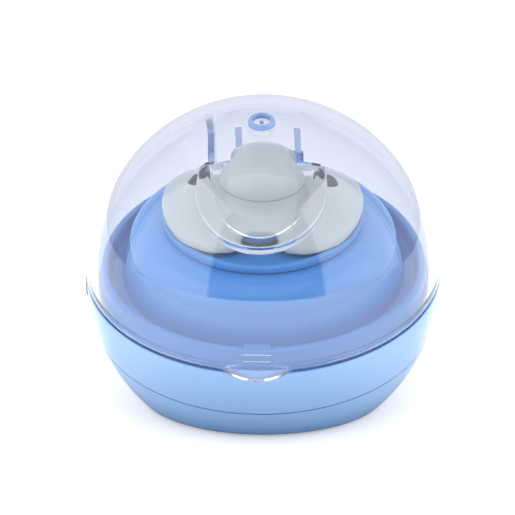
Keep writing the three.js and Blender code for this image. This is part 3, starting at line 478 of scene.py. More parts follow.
ARM_WIDTH = 3
ARM_HEIGHT = 8
ARM_ROOT = 38.5
ARM_BACK = 40
ARM_ROOM = RIB_X + ARM_WIDTH / 2 + FIT
BLOCK_HALF = 5.1
BLOCK_GAP = 0.26
PIN_ROOM = 10
BLOCK_ROOT = 38.2
BLOCK_DROP = 7.5


def knuckle(start, end):
    """Part of the hinge's round outline, seen from the side, between two angles. They count up
    from straight back."""
    return [(HINGE_Y + y, HINGE_Z + z) for y, z in round_end(KNUCKLE, start, end, KNUCKLE_STEPS)]


def hinge_rod(radius, half):
    """A bar on the hinge's axis, as long to each side."""
    return rod(radius, (-half, HINGE_Y, HINGE_Z), (half, HINGE_Y, HINGE_Z))


def hinge_arm(x):
    outline = [
        (ARM_ROOT, LIFT), *knuckle(172, 385), (ARM_BACK, LIFT + ARM_HEIGHT),
        (ARM_ROOT, LIFT + ARM_HEIGHT),
    ]
    return side_slab(outline, x - ARM_WIDTH / 2, x + ARM_WIDTH / 2)


# The lifting tab hangs under the rim, with a round outline seen from the front
TAB_HALF = 7.35
TAB_DROP = 1.3
TAB_RADIUS = (TAB_HALF ** 2 + (TAB_DROP + LIFT) ** 2) / (2 * (TAB_DROP + LIFT))
TAB_FOOT = -1.6
TAB_ROOT = 0.4
TAB_AROUND = 240
FRONT_BLANK = (-44, -18)


def front_rod(radius, lowest, steps):
    """A bar along Y through the front wall, whose underside is at a height."""
    z = lowest + radius
    return rod(radius, (0, FRONT_BLANK[0], z), (0, FRONT_BLANK[1], z), steps)


tab_profile = [
    (39.3, LIFT), (39.9, TAB_FOOT), (41.0, TAB_FOOT), (40, LIFT + TAB_ROOT), (38.6, LIFT + TAB_ROOT),
]
tab = combined(
    turn(tab_profile, FINE_AROUND), ("INTERSECT", front_rod(TAB_RADIUS, -TAB_DROP, TAB_AROUND)),
)

# The catch is a small frame inside the front wall. Its root is sunk in the wall.
CATCH_HALF = 3.3
CATCH_LOW = 1.8
CATCH_HIGH = 3.85
CATCH_SIDE = 0.45
CATCH_BAR = 0.35
CATCH_ROOT = -38.5
CATCH_FLOOR = -37.2
CATCH_FACE = -36.9
catch = combined(
    brick((-CATCH_HALF, CATCH_ROOT, CATCH_LOW), (CATCH_HALF, CATCH_FACE, CATCH_HIGH)),
    ("DIFFERENCE", brick(
        (CATCH_SIDE - CATCH_HALF, CATCH_FLOOR, CATCH_LOW + CATCH_BAR),
        (CATCH_HALF - CATCH_SIDE, CATCH_FACE + 0.9, CATCH_HIGH - CATCH_BAR),
    )),
)

# Inside the tab the rim is hollowed, which leaves a thin window above the finger recess
WINDOW_RADIUS = 19.3
WINDOW_TOP = 2.0
WINDOW_FACE = 39.1
WINDOW_BACK = 37
WINDOW_BLANK = (-1, 2.2)
WINDOW_AROUND = 160
window = combined(
    turn([
        (WINDOW_BACK, WINDOW_BLANK[0]), (WINDOW_FACE, WINDOW_BLANK[0]),
        (WINDOW_FACE, WINDOW_BLANK[1]), (WINDOW_BACK, WINDOW_BLANK[1]),
    ]),
    ("INTERSECT", front_rod(WINDOW_RADIUS, WINDOW_TOP - 2 * WINDOW_RADIUS, WINDOW_AROUND)),
)
lid = combined(
    dome, ("UNION", hinge_arm(-RIB_X)), ("UNION", hinge_arm(RIB_X)), ("UNION", tab),
    ("DIFFERENCE", window), ("UNION", catch),
    ("DIFFERENCE", hinge_rod(KNUCKLE + FIT, BLOCK_HALF + BLOCK_GAP)),
    ("DIFFERENCE", hinge_rod(PIN_BORE, PIN_ROOM)),
)
piece(
    lid, "clear_lid", LID_SAN, "lid", "clear_lid", "lid_shell",
    round_parts=[(BALL, LIFT), (LID_INNER, LIFT)],
)
piece(key_rib, "key_rib", RIB_SAN, "lid", "clear_lid")
piece(back_rib(-RIB_X), "left_rib", RIB_SAN, "lid", "clear_lid")
piece(back_rib(RIB_X), "right_rib", RIB_SAN, "lid", "clear_lid")
piece(gate, "top_ring", GATE_SAN, "lid", "clear_lid")
piece(nub, "top_nub", GATE_SAN, "lid", "clear_lid")

# Base: upper band with its openings, and the lower bowl with its flat bottom. Both show a groove
# where they meet.

BAND_BOTTOM = -12.2
SEAM = -12.38
GROOVE_DEPTH = 0.25
BAND_CHAMFER = 0.1
BOWL_CHAMFER = 0.12
LEDGE = 36.3
LEDGE_TOP = -1.6
LEDGE_BOTTOM = -2.8
BAND_STEPS = 24
BAND_INNER_STEPS = 16
BUTTON_Z = -3.5
BUTTON_HOLE = 3.15
BUTTON_HOLE_END = -36.8
BUTTON_ROOM = 4.0
BUTTON_ROOM_ENDS = (-37.2, -34.1)
VENT_DROPS = (6.1, 9.1)
VENT_WIDTH = 11
VENT_HEIGHT = 1.3
SOCKET_WIDTH = 9
SOCKET_HEIGHT = 3.2
SOCKET_DROP = 6.1
SOCKET_BEARING = -40
SOCKET_NEAR = 34.8

# The band's wall: outside, rim with the dark groove that the lid's rim covers, then the ledge
band_profile = (
    arc(BALL, 0, angle_at(BAND_BOTTOM + BAND_CHAMFER, BALL), angle_at(-0.2, BALL), BAND_STEPS)
    + [(BALL - 0.08, -0.08), (BALL - 0.25, 0), (BALL - 0.3, -0.1), (BALL - 0.4, -1.9)]
    + [(38.5, -1.9), (38.4, -0.1), (38.3, 0), (BASE_INNER, 0)]
    + [(BASE_INNER, LEDGE_TOP), (LEDGE, LEDGE_TOP), (LEDGE, LEDGE_BOTTOM)]
    + arc(
        BASE_INNER, 0, angle_at(LEDGE_BOTTOM, BASE_INNER), angle_at(BAND_BOTTOM, BASE_INNER),
        BAND_INNER_STEPS,
    )
    + [(math.sqrt(BALL ** 2 - BAND_BOTTOM ** 2) - GROOVE_DEPTH, BAND_BOTTOM)]
)
hinge_block = side_slab(
    [(BLOCK_ROOT, -FIT), *knuckle(195, -29), (39.65, -BLOCK_DROP), (BLOCK_ROOT, -BLOCK_DROP)],
    -BLOCK_HALF, BLOCK_HALF,
)
# The finger recess is where a large ball in front of the tab cuts the band
SCOOP = 26.2
SCOOP_MIDDLE = (0, -58.6, 16.2)
SCOOP_AROUND = 160
scoop = ball(SCOOP, SCOOP_MIDDLE, SCOOP_AROUND)


def socket_mouth():
    """The round-ended opening round the charging socket."""
    half = (SOCKET_WIDTH - SOCKET_HEIGHT) / 2
    end = [(half + x, y) for x, y in round_end(SOCKET_HEIGHT / 2 + FIT, -90, 90, 24)]
    bm = slab(end + [(-x, -y) for x, y in end], SOCKET_NEAR, PAST_BALL)
    outwards = (
        Matrix.Translation((0, 0, -SOCKET_DROP))
        @ Matrix.Rotation(math.radians(SOCKET_BEARING), 4, "Z")
        @ Matrix.Rotation(math.radians(-90), 4, "X")
    )
    bmesh.ops.transform(bm, matrix=outwards, verts=bm.verts)
    return bm


def button_room(radius, start, end):
    """A round bar through the left wall on the button's axis."""
    return rod(radius, (start, 0, BUTTON_Z), (end, 0, BUTTON_Z), SMALL_AROUND)


def vent_slot(drop):
    return brick(
        (LEDGE, -VENT_WIDTH / 2, -drop - VENT_HEIGHT / 2),
        (PAST_BALL, VENT_WIDTH / 2, -drop + VENT_HEIGHT / 2),
    )


band = combined(
    turn(band_profile),
    ("DIFFERENCE", hinge_rod(KNUCKLE + FIT, ARM_ROOM)), ("UNION", hinge_block),
    ("DIFFERENCE", hinge_rod(PIN_BORE, BLOCK_HALF + OVERRUN)),
    ("DIFFERENCE", button_room(BUTTON_HOLE, -PAST_BALL, BUTTON_HOLE_END)),
    ("DIFFERENCE", button_room(BUTTON_ROOM, *BUTTON_ROOM_ENDS)),
    *[("DIFFERENCE", vent_slot(drop)) for drop in VENT_DROPS],
    ("DIFFERENCE", scoop),
    ("DIFFERENCE", socket_mouth()),
)
piece(
    band, "upper_band", BLUE_ABS, "base", "blue_shell", "base_band",
    round_parts=[(BALL, 0), (BASE_INNER, 0)],
)

# The bowl is cut level with the table, so its cutters are placed in the standing frame
TO_CASE = Matrix.Rotation(-LEAN, 4, "X") @ Matrix.Translation((0, 0, -BALL_HEIGHT))
FOOT_GAP = 0.5
BOWL_FLOOR = 2.7
WIDE = 80
DEEP = 60
SCREW_CIRCLE = 19
SCREW_BEARINGS = (90, 210, 330)
SCREW_ROOM = 2.5
SCREW_SEAT = -19.6
UNDER_BOWL = -45
FOOT_PLACE = 13.8
FOOT_ROOM = 4.3
FOOT_DEPTH = 1.5
BOWL_STEPS = 64
BOWL_INNER_STEPS = 40


def below(height):
    """Everything under a level above the table, in the case frame."""
    bm = brick((-WIDE, -WIDE, height - DEEP), (WIDE, WIDE, height))
    bmesh.ops.transform(bm, matrix=TO_CASE, verts=bm.verts)
    return bm


def foot_recess(x, y):
    bm = rod(FOOT_ROOM, (x, y, -OVERRUN), (x, y, FOOT_DEPTH), SMALL_AROUND)
    bmesh.ops.transform(bm, matrix=TO_CASE, verts=bm.verts)
    return bm


def screw_recess(bearing):
    x = SCREW_CIRCLE * math.cos(math.radians(bearing))
    y = SCREW_CIRCLE * math.sin(math.radians(bearing))
    return rod(SCREW_ROOM, (x, y, UNDER_BOWL), (x, y, SCREW_SEAT))


bowl_out = turn(
    [(0, SEAM), (math.sqrt(BALL ** 2 - SEAM ** 2) - GROOVE_DEPTH, SEAM)]
    + arc(BALL, 0, angle_at(SEAM - BOWL_CHAMFER, BALL), -90, BOWL_STEPS)
)
PAST_SEAM = SEAM + OVERRUN
bowl_in = turn(
    [(0, PAST_SEAM), (math.sqrt(BASE_INNER ** 2 - PAST_SEAM ** 2), PAST_SEAM)]
    + arc(BASE_INNER, 0, angle_at(PAST_SEAM - 0.1, BASE_INNER), -90, BOWL_INNER_STEPS)
)
bowl = combined(
    bowl_out,
    ("DIFFERENCE", below(FOOT_GAP)),
    ("DIFFERENCE", combined(bowl_in, ("DIFFERENCE", below(BOWL_FLOOR)))),
    *[("DIFFERENCE", screw_recess(bearing)) for bearing in SCREW_BEARINGS],
    *[("DIFFERENCE", foot_recess(x * FOOT_PLACE, y * FOOT_PLACE)) for x in (-1, 1) for y in (-1, 1)],
)
piece(
    bowl, "lower_bowl", BLUE_ABS, "base", "blue_shell", "lower_shell",
    round_parts=[(BALL, 0), (BASE_INNER, 0)],
)

# Tray with its collar, trough and domed pedestal

COLLAR = 36.6
TROUGH_WALL = 31.35
WALL_FOOT = 1.7
WALL_HEIGHT = 6.9
WALL_LEAN = 0.9
WALL_CURVE = 0.45
WALL_STEPS = 14
SHOULDER = (22.6, 8.6)
SHOULDER_SIZE = (7.4, 6.1)
PLATEAU = 14.7
STRIKE_HALF = 2.9
PLUNGER_BORE = 1.6
PLUNGER = (KEY_RIB_X, 30.55)

# Profiles are (radius, height). The wall leans inwards, more so towards its top.
tray_under = [
    (14.1, 12.7), (20.6, 12.7), (22.4, 12.3), (24.9, 11.0), (26.9, 9.3), (28.0, 7.4), (28.6, 4.6),
    (28.9, -1.3), (37.5, -1.3), (37.5, -0.1), (COLLAR, -0.1),
]
tray_collar = [
    (COLLAR, 4.15), (36.5, 4.42), (36.25, 4.57), (35.9, 4.6), (35.4, 4.58), (35.05, 4.45),
    (34.85, 4.2), (34.8, 3.9),
]
tray_trough = [
    (34.75, 1.6), (34.6, 1.1), (34.25, 0.78), (33.8, 0.7), (32.3, 0.7), (31.8, 0.82), (31.5, 1.15),
    (TROUGH_WALL, WALL_FOOT),
]
tray_wall = [
    (TROUGH_WALL - WALL_LEAN * t - WALL_CURVE * t ** 3, WALL_FOOT + WALL_HEIGHT * t)
    for t in [i / WALL_STEPS for i in range(1, WALL_STEPS + 1)]
]
tray_shoulder = [
    (SHOULDER[0] + SHOULDER_SIZE[0] * math.cos(a), SHOULDER[1] + SHOULDER_SIZE[1] * math.sin(a))
    for a in [math.radians(angle) for angle in range(6, 91, 4)]
]
tray_top = [(21.8, PLATEAU), (14.4, PLATEAU), (14.1, PLATEAU - 0.3)]
# The strike, which the catch snaps over, stands on the collar at the front
strike_profile = [(35.1, 3.9), (36.3, 3.9), (36.3, 5.25), (36.15, 5.4), (35.25, 5.4), (35.1, 5.25)]
strike = combined(
    turn(strike_profile, FINE_AROUND),
    ("INTERSECT", brick((-STRIKE_HALF, -38, 3), (STRIKE_HALF, -30, 6))),
)
tray = combined(
    turn(tray_under + tray_collar + tray_trough + tray_wall + tray_shoulder + tray_top),
    ("UNION", strike),
    ("DIFFERENCE", rod(PLUNGER_BORE, (*PLUNGER, -3), (*PLUNGER, 6), PIN_AROUND)),
)
piece(tray, "lamp_tray", TRAY_ABS, "base", "blue_tray", "inner_tray", angle=28)

# Holder cup: a dished flange with a rounded lip, and the teat's well with the window's seat
cup_flange = [
    (13.8, 15.0), (22.15, 15.0), (22.32, 15.07), (22.4, 15.25), (22.4, 16.35), (22.33, 16.56),
    (22.15, 16.67), (21.95, 16.7), (21.5, 16.7), (21.25, 16.65), (21.1, 16.5), (21.0, 16.2),
    (20.9, 15.9), (20.7, 15.76), (20.4, 15.7), (13.3, 15.7), (12.9, 15.62), (12.63, 15.4),
]
cup_well = [
    (12.5, 15.05), (12.48, 14.0), (11.95, -8.7), (11.8, -9.2), (11.4, -9.5), (7.6, -9.5),
    (7.5, -9.6), (7.5, -10.9), (12.5, -10.9), (12.5, -17.15), (13.8, -17.15),
]
piece(
    turn(cup_flange + cup_well), "holder_well", TRAY_ABS, "base", "blue_tray", "holder_cup", angle=28,
)

# Pacifier: curved shield, teat, knob and ring handle

SHIELD_LONG = 22.35
SHIELD_WIDE = 17.5
EDGE_STEPS = 320
SPLINE_STEPS = 12
# The shield's surface is part of an ellipsoid with these half axes, over this height
CURVE_LONG = 30.3
CURVE_SHORT = 20.6
CURVE_RISE = 10.4
CURVE_FOOT = 13.2
SHIELD_WALL = 1.5
SHIELD_SEAT = 17.0
BORE = 3.7
RIM = 0.85
UNDER_RIM = 0.6
LEAST_WALL = 0.5
EDGE_FALL = 0.12
EDGE_RISE = 0.05

# A quarter of the shield's outline, from its side end to the notch, as shares of its half sizes
SHIELD_SHARES = [
    (1, 0), (0.96, 0.37), (0.86, 0.64), (0.735, 0.815), (0.58, 0.93), (0.42, 0.99), (0.29, 0.985),
    (0.2, 0.945), (0.12, 0.84),
]


def between(a, b, c, d, t):
    """A point on the smooth curve through four points, a share t of the way from b to c."""
    return 0.5 * (
        2 * b + (c - a) * t + (2 * a - 5 * b + 4 * c - d) * t ** 2 + (3 * b - a - 3 * c + d) * t ** 3
    )


def shield_outline(count):
    """The shield's edge as a closed smooth curve of evenly spaced points."""
    quarter = [(x * SHIELD_LONG, y * SHIELD_WIDE) for x, y in SHIELD_SHARES]
    half = quarter + [(-x, y) for x, y in reversed(quarter)]
    whole = half + [(-x, -y) for x, y in half[1:-1]]
    fine = []
    for i in range(len(whole)):
        a, b, c, d = [Vector(whole[(i + k - 1) % len(whole)]) for k in range(4)]
        fine += [between(a, b, c, d, j / SPLINE_STEPS) for j in range(SPLINE_STEPS)]
    lengths = [0]
    for p, q in zip(fine, fine[1:] + fine[:1]):
        lengths.append(lengths[-1] + (q - p).length)
    fine.append(fine[0])
    made = []
    at = 0
    for i in range(count):
        want = lengths[-1] * i / count
        while lengths[at + 1] < want:
            at += 1
        share = (want - lengths[at]) / (lengths[at + 1] - lengths[at])
        made.append(fine[at].lerp(fine[at + 1], share))
    return made


def shield_height(x, y, inset=0.0):
    """The height of the shield's outer surface, or of the surface that lies inset under it."""
    long, short, rise = CURVE_LONG - inset, CURVE_SHORT - inset, CURVE_RISE - inset
    return CURVE_FOOT + rise * math.sqrt(max(0, 1 - (x / long) ** 2 - (y / short) ** 2))


def rounding(radius, from_edge):
    """How far a surface rounded to a radius turns away at a distance in from its edge."""
    if from_edge >= radius:
        return 0
    return radius - math.sqrt(radius ** 2 - (radius - from_edge) ** 2)


def shield_top(x, y, from_edge):
    return shield_height(x, y) - rounding(RIM, from_edge)


def shield_under(x, y, from_edge):
    """The underside: rounded at the edge, and flat where the shield stands on the cup."""
    wanted = shield_height(x, y, SHIELD_WALL) + rounding(UNDER_RIM, from_edge)
    return max(SHIELD_SEAT, min(wanted, shield_top(x, y, from_edge) - LEAST_WALL))


def shield_ring(edge, depth, level):
    """One ring of the shield: depth is its share from the bore to the edge, or the distance in
    from the edge if negative."""
    points = []
    for p in edge:
        out = p.normalized()
        radius = BORE + (p.length - BORE) * depth if depth >= 0 else p.length + depth
        x, y = out.x * radius, out.y * radius
        points.append((x, y, level(x, y, p.length - radius)))
    return points


def lofted(rings, closed=True):
    """Rings of points joined one after another by extruding edges, and closed back onto the first
    ring or capped."""
    bm = bmesh.new()
    ring = [bm.verts.new(p) for p in rings[0]]
    edges = [bm.edges.new((ring[i - 1], ring[i])) for i in range(len(ring))]
    first = edges
    for points in rings[1:]:
        grown = bmesh.ops.extrude_edge_only(bm, edges=edges)["geom"]
        fresh = {g for g in grown if isinstance(g, bmesh.types.BMVert)}
        ring = [next(e.other_vert(v) for e in v.link_edges if e.other_vert(v) in fresh) for v in ring]
        for v, p in zip(ring, points):
            v.co = p
        grown_edges = [g for g in grown if isinstance(g, bmesh.types.BMEdge)]
        edges = [e for e in grown_edges if all(v in fresh for v in e.verts)]
    if closed:
        bmesh.ops.bridge_loops(bm, edges=first + edges)
    else:
        bmesh.ops.contextual_create(bm, geom=first)
        bmesh.ops.contextual_create(bm, geom=edges)
    bmesh.ops.recalc_face_normals(bm, faces=bm.faces)
    return bm


# From the bore out over the top, round the edge, and back to the bore underneath
TOP_RINGS = 30
UNDER_RINGS = 16
edge = shield_outline(EDGE_STEPS)
inward = [0.03, 0.12, 0.28, 0.5, 0.8]
rings = [shield_ring(edge, i / TOP_RINGS, shield_top) for i in range(TOP_RINGS - 3)]
rings += [shield_ring(edge, -d, shield_top) for d in reversed(inward)]
rings += [shield_ring(edge, 1, lambda x, y, d: shield_top(x, y, d) - EDGE_FALL)]
rings += [shield_ring(edge, 1, lambda x, y, d: shield_under(x, y, d) + EDGE_RISE)]
rings += [shield_ring(edge, -d, shield_under) for d in inward]
rings += [shield_ring(edge, i / UNDER_RINGS, shield_under) for i in reversed(range(UNDER_RINGS - 2))]

VENT_RADIUS = 2.1
VENT_STRAIGHT = 1.1
VENT_STEPS = 48
VENT_OUT = 14.3
VENT_BACK = 4.6
VENT_TURN = 0.35
VENT_LEAN = 0.19
# Under the skin the vents widen by this share, up to this height
VENT_WIDER = 0.4
VENT_SKIN = 21.4


def vent_outline():
    points = []
    for i in range(VENT_STEPS):
        a = math.tau * (i + 0.5) / VENT_STEPS
        y = VENT_RADIUS * math.sin(a) + math.copysign(VENT_STRAIGHT, math.sin(a))
        points.append((VENT_RADIUS * math.cos(a), y))
    return points


def vent_bar(side, wider=0.0, top=30.0):
    bm = slab([(x * (1 + wider), y * (1 + wider)) for x, y in vent_outline()], 10, top)
    if wider:
        leaning = Matrix.Rotation(side * VENT_LEAN, 3, "Y")
        bmesh.ops.rotate(bm, verts=bm.verts, cent=(0, 0, top), matrix=leaning)
    turned = Matrix.Rotation(side * VENT_TURN, 4, "Z")
    bmesh.ops.transform(
        bm, matrix=Matrix.Translation((side * VENT_OUT, VENT_BACK, 0)) @ turned, verts=bm.verts,
    )
    return bm


shield = combined(
    lofted(rings),
    *[("DIFFERENCE", vent_bar(side)) for side in (-1, 1)],
    *[("DIFFERENCE", vent_bar(side, VENT_WIDER, VENT_SKIN)) for side in (-1, 1)],
)
shield_copy = shield.copy()
piece(shield, "curved_shield", GREY_PP, "pacifier", "pacifier_grey", "pacifier_shield", angle=40)

# The knob's skirt flares out under the rim and runs into the shield, which cuts it off a hair
# above its surface
PEG_BACK = 2
PEG_HEIGHT = 26.2
PEG_BORE = 1.05
KNOB = 9.8
KNOB_RISE = 6.6
KNOB_RIM = 25.8
KNOB_TOP = KNOB_RIM + KNOB_RISE
KNOB_AROUND = 144
SKIRT = 9.75
SKIRT_FLARE = 2.65
SKIRT_TOP = 25.4
SKIRT_FALL = 5.88
SKIRT_CURVE = 1.96
SKIRT_STEPS = 12
RECESS = 4.8
RECESS_OUT = 10.3
RECESS_BACK = 2.7
RECESS_FOOT = 24.2
RECESS_AROUND = 96
HAIR = 0.01

skirt = [
    (SKIRT + SKIRT_FLARE * t * t, SKIRT_TOP - SKIRT_FALL * t + SKIRT_CURVE * t * t)
    for t in [i / SKIRT_STEPS for i in range(SKIRT_STEPS + 1)]
]
knob_dome = [
    (KNOB * math.cos(a), KNOB_RIM + KNOB_RISE * math.sin(a))
    for a in [math.radians(angle) for angle in range(0, 90, 3)]
]
knob_profile = [
    (0, 17.3), (3.0, 17.3), (3.3, 17.6), (3.3, 22.4), (12.4, 20.9), *reversed(skirt), (9.5, 25.46),
    (9.52, 25.64), *knob_dome, (0, KNOB_TOP),
]


def knob_recess(side):
    """The round hollow beside the knob in which the ring handle's end turns."""
    x = side * RECESS_OUT
    return rod(RECESS, (x, RECESS_BACK, RECESS_FOOT), (x, RECESS_BACK, 40), RECESS_AROUND)


def peg_bore(side):
    start, end = (side * 4.6, PEG_BACK, PEG_HEIGHT), (side * 11, PEG_BACK, PEG_HEIGHT)
    return rod(PEG_BORE, start, end, PIN_AROUND)


bmesh.ops.translate(shield_copy, verts=shield_copy.verts, vec=(0, 0, HAIR))
knob = combined(
    turn(knob_profile, KNOB_AROUND),
    *[("DIFFERENCE", knob_recess(side)) for side in (-1, 1)],
    *[("DIFFERENCE", peg_bore(side)) for side in (-1, 1)],
    ("DIFFERENCE", shield_copy),
)
piece(knob, "domed_knob", GREY_PP, "pacifier", "pacifier_grey", "pacifier_knob", angle=30)

# Teat: flange under the shield, neck, bulb and hollow. The bulb is flattened front to back.
TEAT_FLAT_SHARE = 0.18
TEAT_FLAT_FROM = 10.2
TEAT_FLAT_OVER = 9.0
TEAT_AROUND = 96
teat_profile = [
    (3.6, 20.8), (5.6, 20.5), (8.9, 20.0), (9.2, 19.85), (9.3, 19.6), (9.25, 19.0), (9.0, 18.85),
    (7.0, 18.6), (6.2, 18.1), (5.6, 16.8), (5.25, 15.2), (5.2, 14.2), (5.35, 12.2), (5.8, 10.2),
    (6.6, 7.8), (7.5, 5.6), (8.1, 3.6), (8.3, 1.4), (8.15, -0.8), (7.5, -3.0), (6.2, -5.1),
    (4.4, -6.5), (2.2, -7.2), (0, -7.4), (0, -3.7), (2.0, -3.2), (3.2, -2.0), (3.6, -0.2),
]
teat = turn(teat_profile, TEAT_AROUND)
for v in teat.verts:
    share = min(1, max(0, (TEAT_FLAT_FROM - v.co.z) / TEAT_FLAT_OVER))
    v.co.y *= 1 - TEAT_FLAT_SHARE * share * share * (3 - 2 * share)
piece(teat, "soft_teat", SILICONE, "pacifier", "silicone", "pacifier_teat", angle=50)

# The ring handle is a bow between two short arms, in its own plane, which droops about the pegs.
# Its section is a rounded rectangle, a little narrower at the arms.
DROOP = Matrix.Translation((0, PEG_BACK, PEG_HEIGHT)) @ Matrix.Rotation(math.radians(10), 4, "X")
BOW_HALF = 12.7
BOW_BACK = -6
BOW_DEPTH = 18
BOW_STEPS = 40
SECTION_STEPS = 36
ARM_HALF_WIDTH = 1.6
BOW_EXTRA = 0.45
RING_HALF_THICK = 1.3
SQUARENESS = 0.48
# The handle's width starts to grow after the first number of points, and grows over the second
ARM_POINTS = 3
WIDENING_POINTS = 6
PEG_END = 12

bow = [
    (BOW_HALF * math.cos(a), BOW_BACK - BOW_DEPTH * math.sin(a))
    for a in [math.pi * i / BOW_STEPS for i in range(BOW_STEPS + 1)]
]
arm = [(10.9, 0), (11.9, -0.25), (12.5, -0.95), (BOW_HALF, -2.1), (BOW_HALF, -4)]
line = arm + bow + [(-x, y) for x, y in reversed(arm)]


def squarish(a):
    """A point of the section's unit outline, between a circle and a square."""
    return (
        math.copysign(abs(math.cos(a)) ** SQUARENESS, math.cos(a)),
        math.copysign(abs(math.sin(a)) ** SQUARENESS, math.sin(a)),
    )


def handle_section(i):
    """The handle's outline at point i of its line."""
    x, y = line[i]
    last = len(line) - 1
    before, after = line[max(0, i - 1)], line[min(last, i + 1)]
    along = Vector((after[0] - before[0], after[1] - before[1])).normalized()
    if i in (0, last):
        along = Vector((1, 0))
    side = Vector((-along.y, along.x))
    along_arm = (min(i, last - i) - ARM_POINTS) / WIDENING_POINTS
    wide = ARM_HALF_WIDTH + BOW_EXTRA * min(1, max(0, along_arm))
    points = []
    for k in range(SECTION_STEPS):
        across, over = squarish(math.tau * (k + 0.5) / SECTION_STEPS)
        across *= wide
        points.append((x + side.x * across, y + side.y * across, RING_HALF_THICK * over))
    return points


def handle_peg(radius, side, start):
    return rod(radius, (side * start, 0, 0), (side * PEG_END, 0, 0), PIN_AROUND)


ring = combined(
    lofted([handle_section(i) for i in range(len(line))], closed=False),
    *[("UNION", handle_peg(1.25, side, 8.9)) for side in (-1, 1)],
    *[("UNION", handle_peg(0.8, side, 4.9)) for side in (-1, 1)],
)
bmesh.ops.transform(ring, matrix=DROOP, verts=ring.verts)
piece(ring, "ring_handle", RING_CLEAR, "ring", "clear_ring", "pacifier_ring", angle=50)

# Power button on the left, seen edge-on in the photograph: stem, flange behind the wall and a
# slightly domed face. Its profile is (radius, distance from the case's middle).

button_profile = [
    (0, 34.1), (1.4, 34.1), (1.4, 36.0), (3.7, 36.0), (3.7, 36.9), (2.9, 36.9), (2.9, 39.75),
    (2.82, 39.98), (2.6, 40.12), (2.0, 40.2), (1.6, 40.2), (1.0, 40.12), (0, 40.08),
]
button = turn(button_profile, SMALL_AROUND)
leftwards = Matrix.Rotation(math.radians(-90), 3, "Y")
bmesh.ops.rotate(button, verts=button.verts, cent=(0, 0, 0), matrix=leftwards)
bmesh.ops.translate(button, verts=button.verts, vec=(0, 0, BUTTON_Z))
# The flange is cut off on top, to clear the tray's edge
button = combined(button, ("DIFFERENCE", brick((-37.9, -10, LEDGE_TOP), (-30, 10, 10))))
piece(button, "round_button", TRAY_ABS, "button", "blue_tray", "power_button", angle=30)

# Inner pieces keep the model's own shapes and get their materials

finishes = [
    (STEEL, ["hinge_pin", "charging_socket"] + [f"shell_screw_{i}" for i in (1, 2, 3)]),
    (SILICONE, ["window_seal"]),
    (QUARTZ, ["uv_window"]),
    (WHITE_NYLON, ["window_spacer", "lamp_cap", "interlock_plunger"]),
    (WHITE_NYLON, [f"uv_led_{i}" for i in (1, 2, 3)]),
    (ALUMINIUM, ["lamp_board", "battery_cell"]),
    (BOARD, ["main_board"]),
    (BLACK_EPOXY, ["control_chip", "button_switch", "lid_switch"]),
    (FOAM, ["battery_pad"]),
    (RED_PVC, ["battery_lead_1", "lamp_lead_1"]),
    (BLACK_PVC, ["battery_lead_2", "lamp_lead_2"]),
    (RUBBER, [f"rubber_foot_{i}" for i in (1, 2, 3, 4)]),
]
for finish, names in finishes:
    for name in names:
        nodes[name].data.materials.clear()
        nodes[name].data.materials.append(finish)

# Studio: white table and backdrop, a tall soft light on each side and one overhead. Distances are
# in metres from the middle of the table.

TABLE_GRAIN = 0.0025
TABLE_WHITE = (0.8, 0.79, 0.775, 1)
# The table glows from near the case to this far off, most in front of it
GLOW_FRONT_SHARE = 0.45
GLOW_NEAR = (0.05, 0.14)
GLOW_LEVEL = 1.4
# Reflections see a brighter glow that starts closer to the case: a painted reflection, stronger than
# the light the table casts
MIRRORED_NEAR = (0.03, 0.06)
MIRRORED_LEVEL = 2.3
GLOW_END = (1.3, 1.5)
THROUGH_LEVEL = 0.15
CAMERA_LEVEL = 0.4


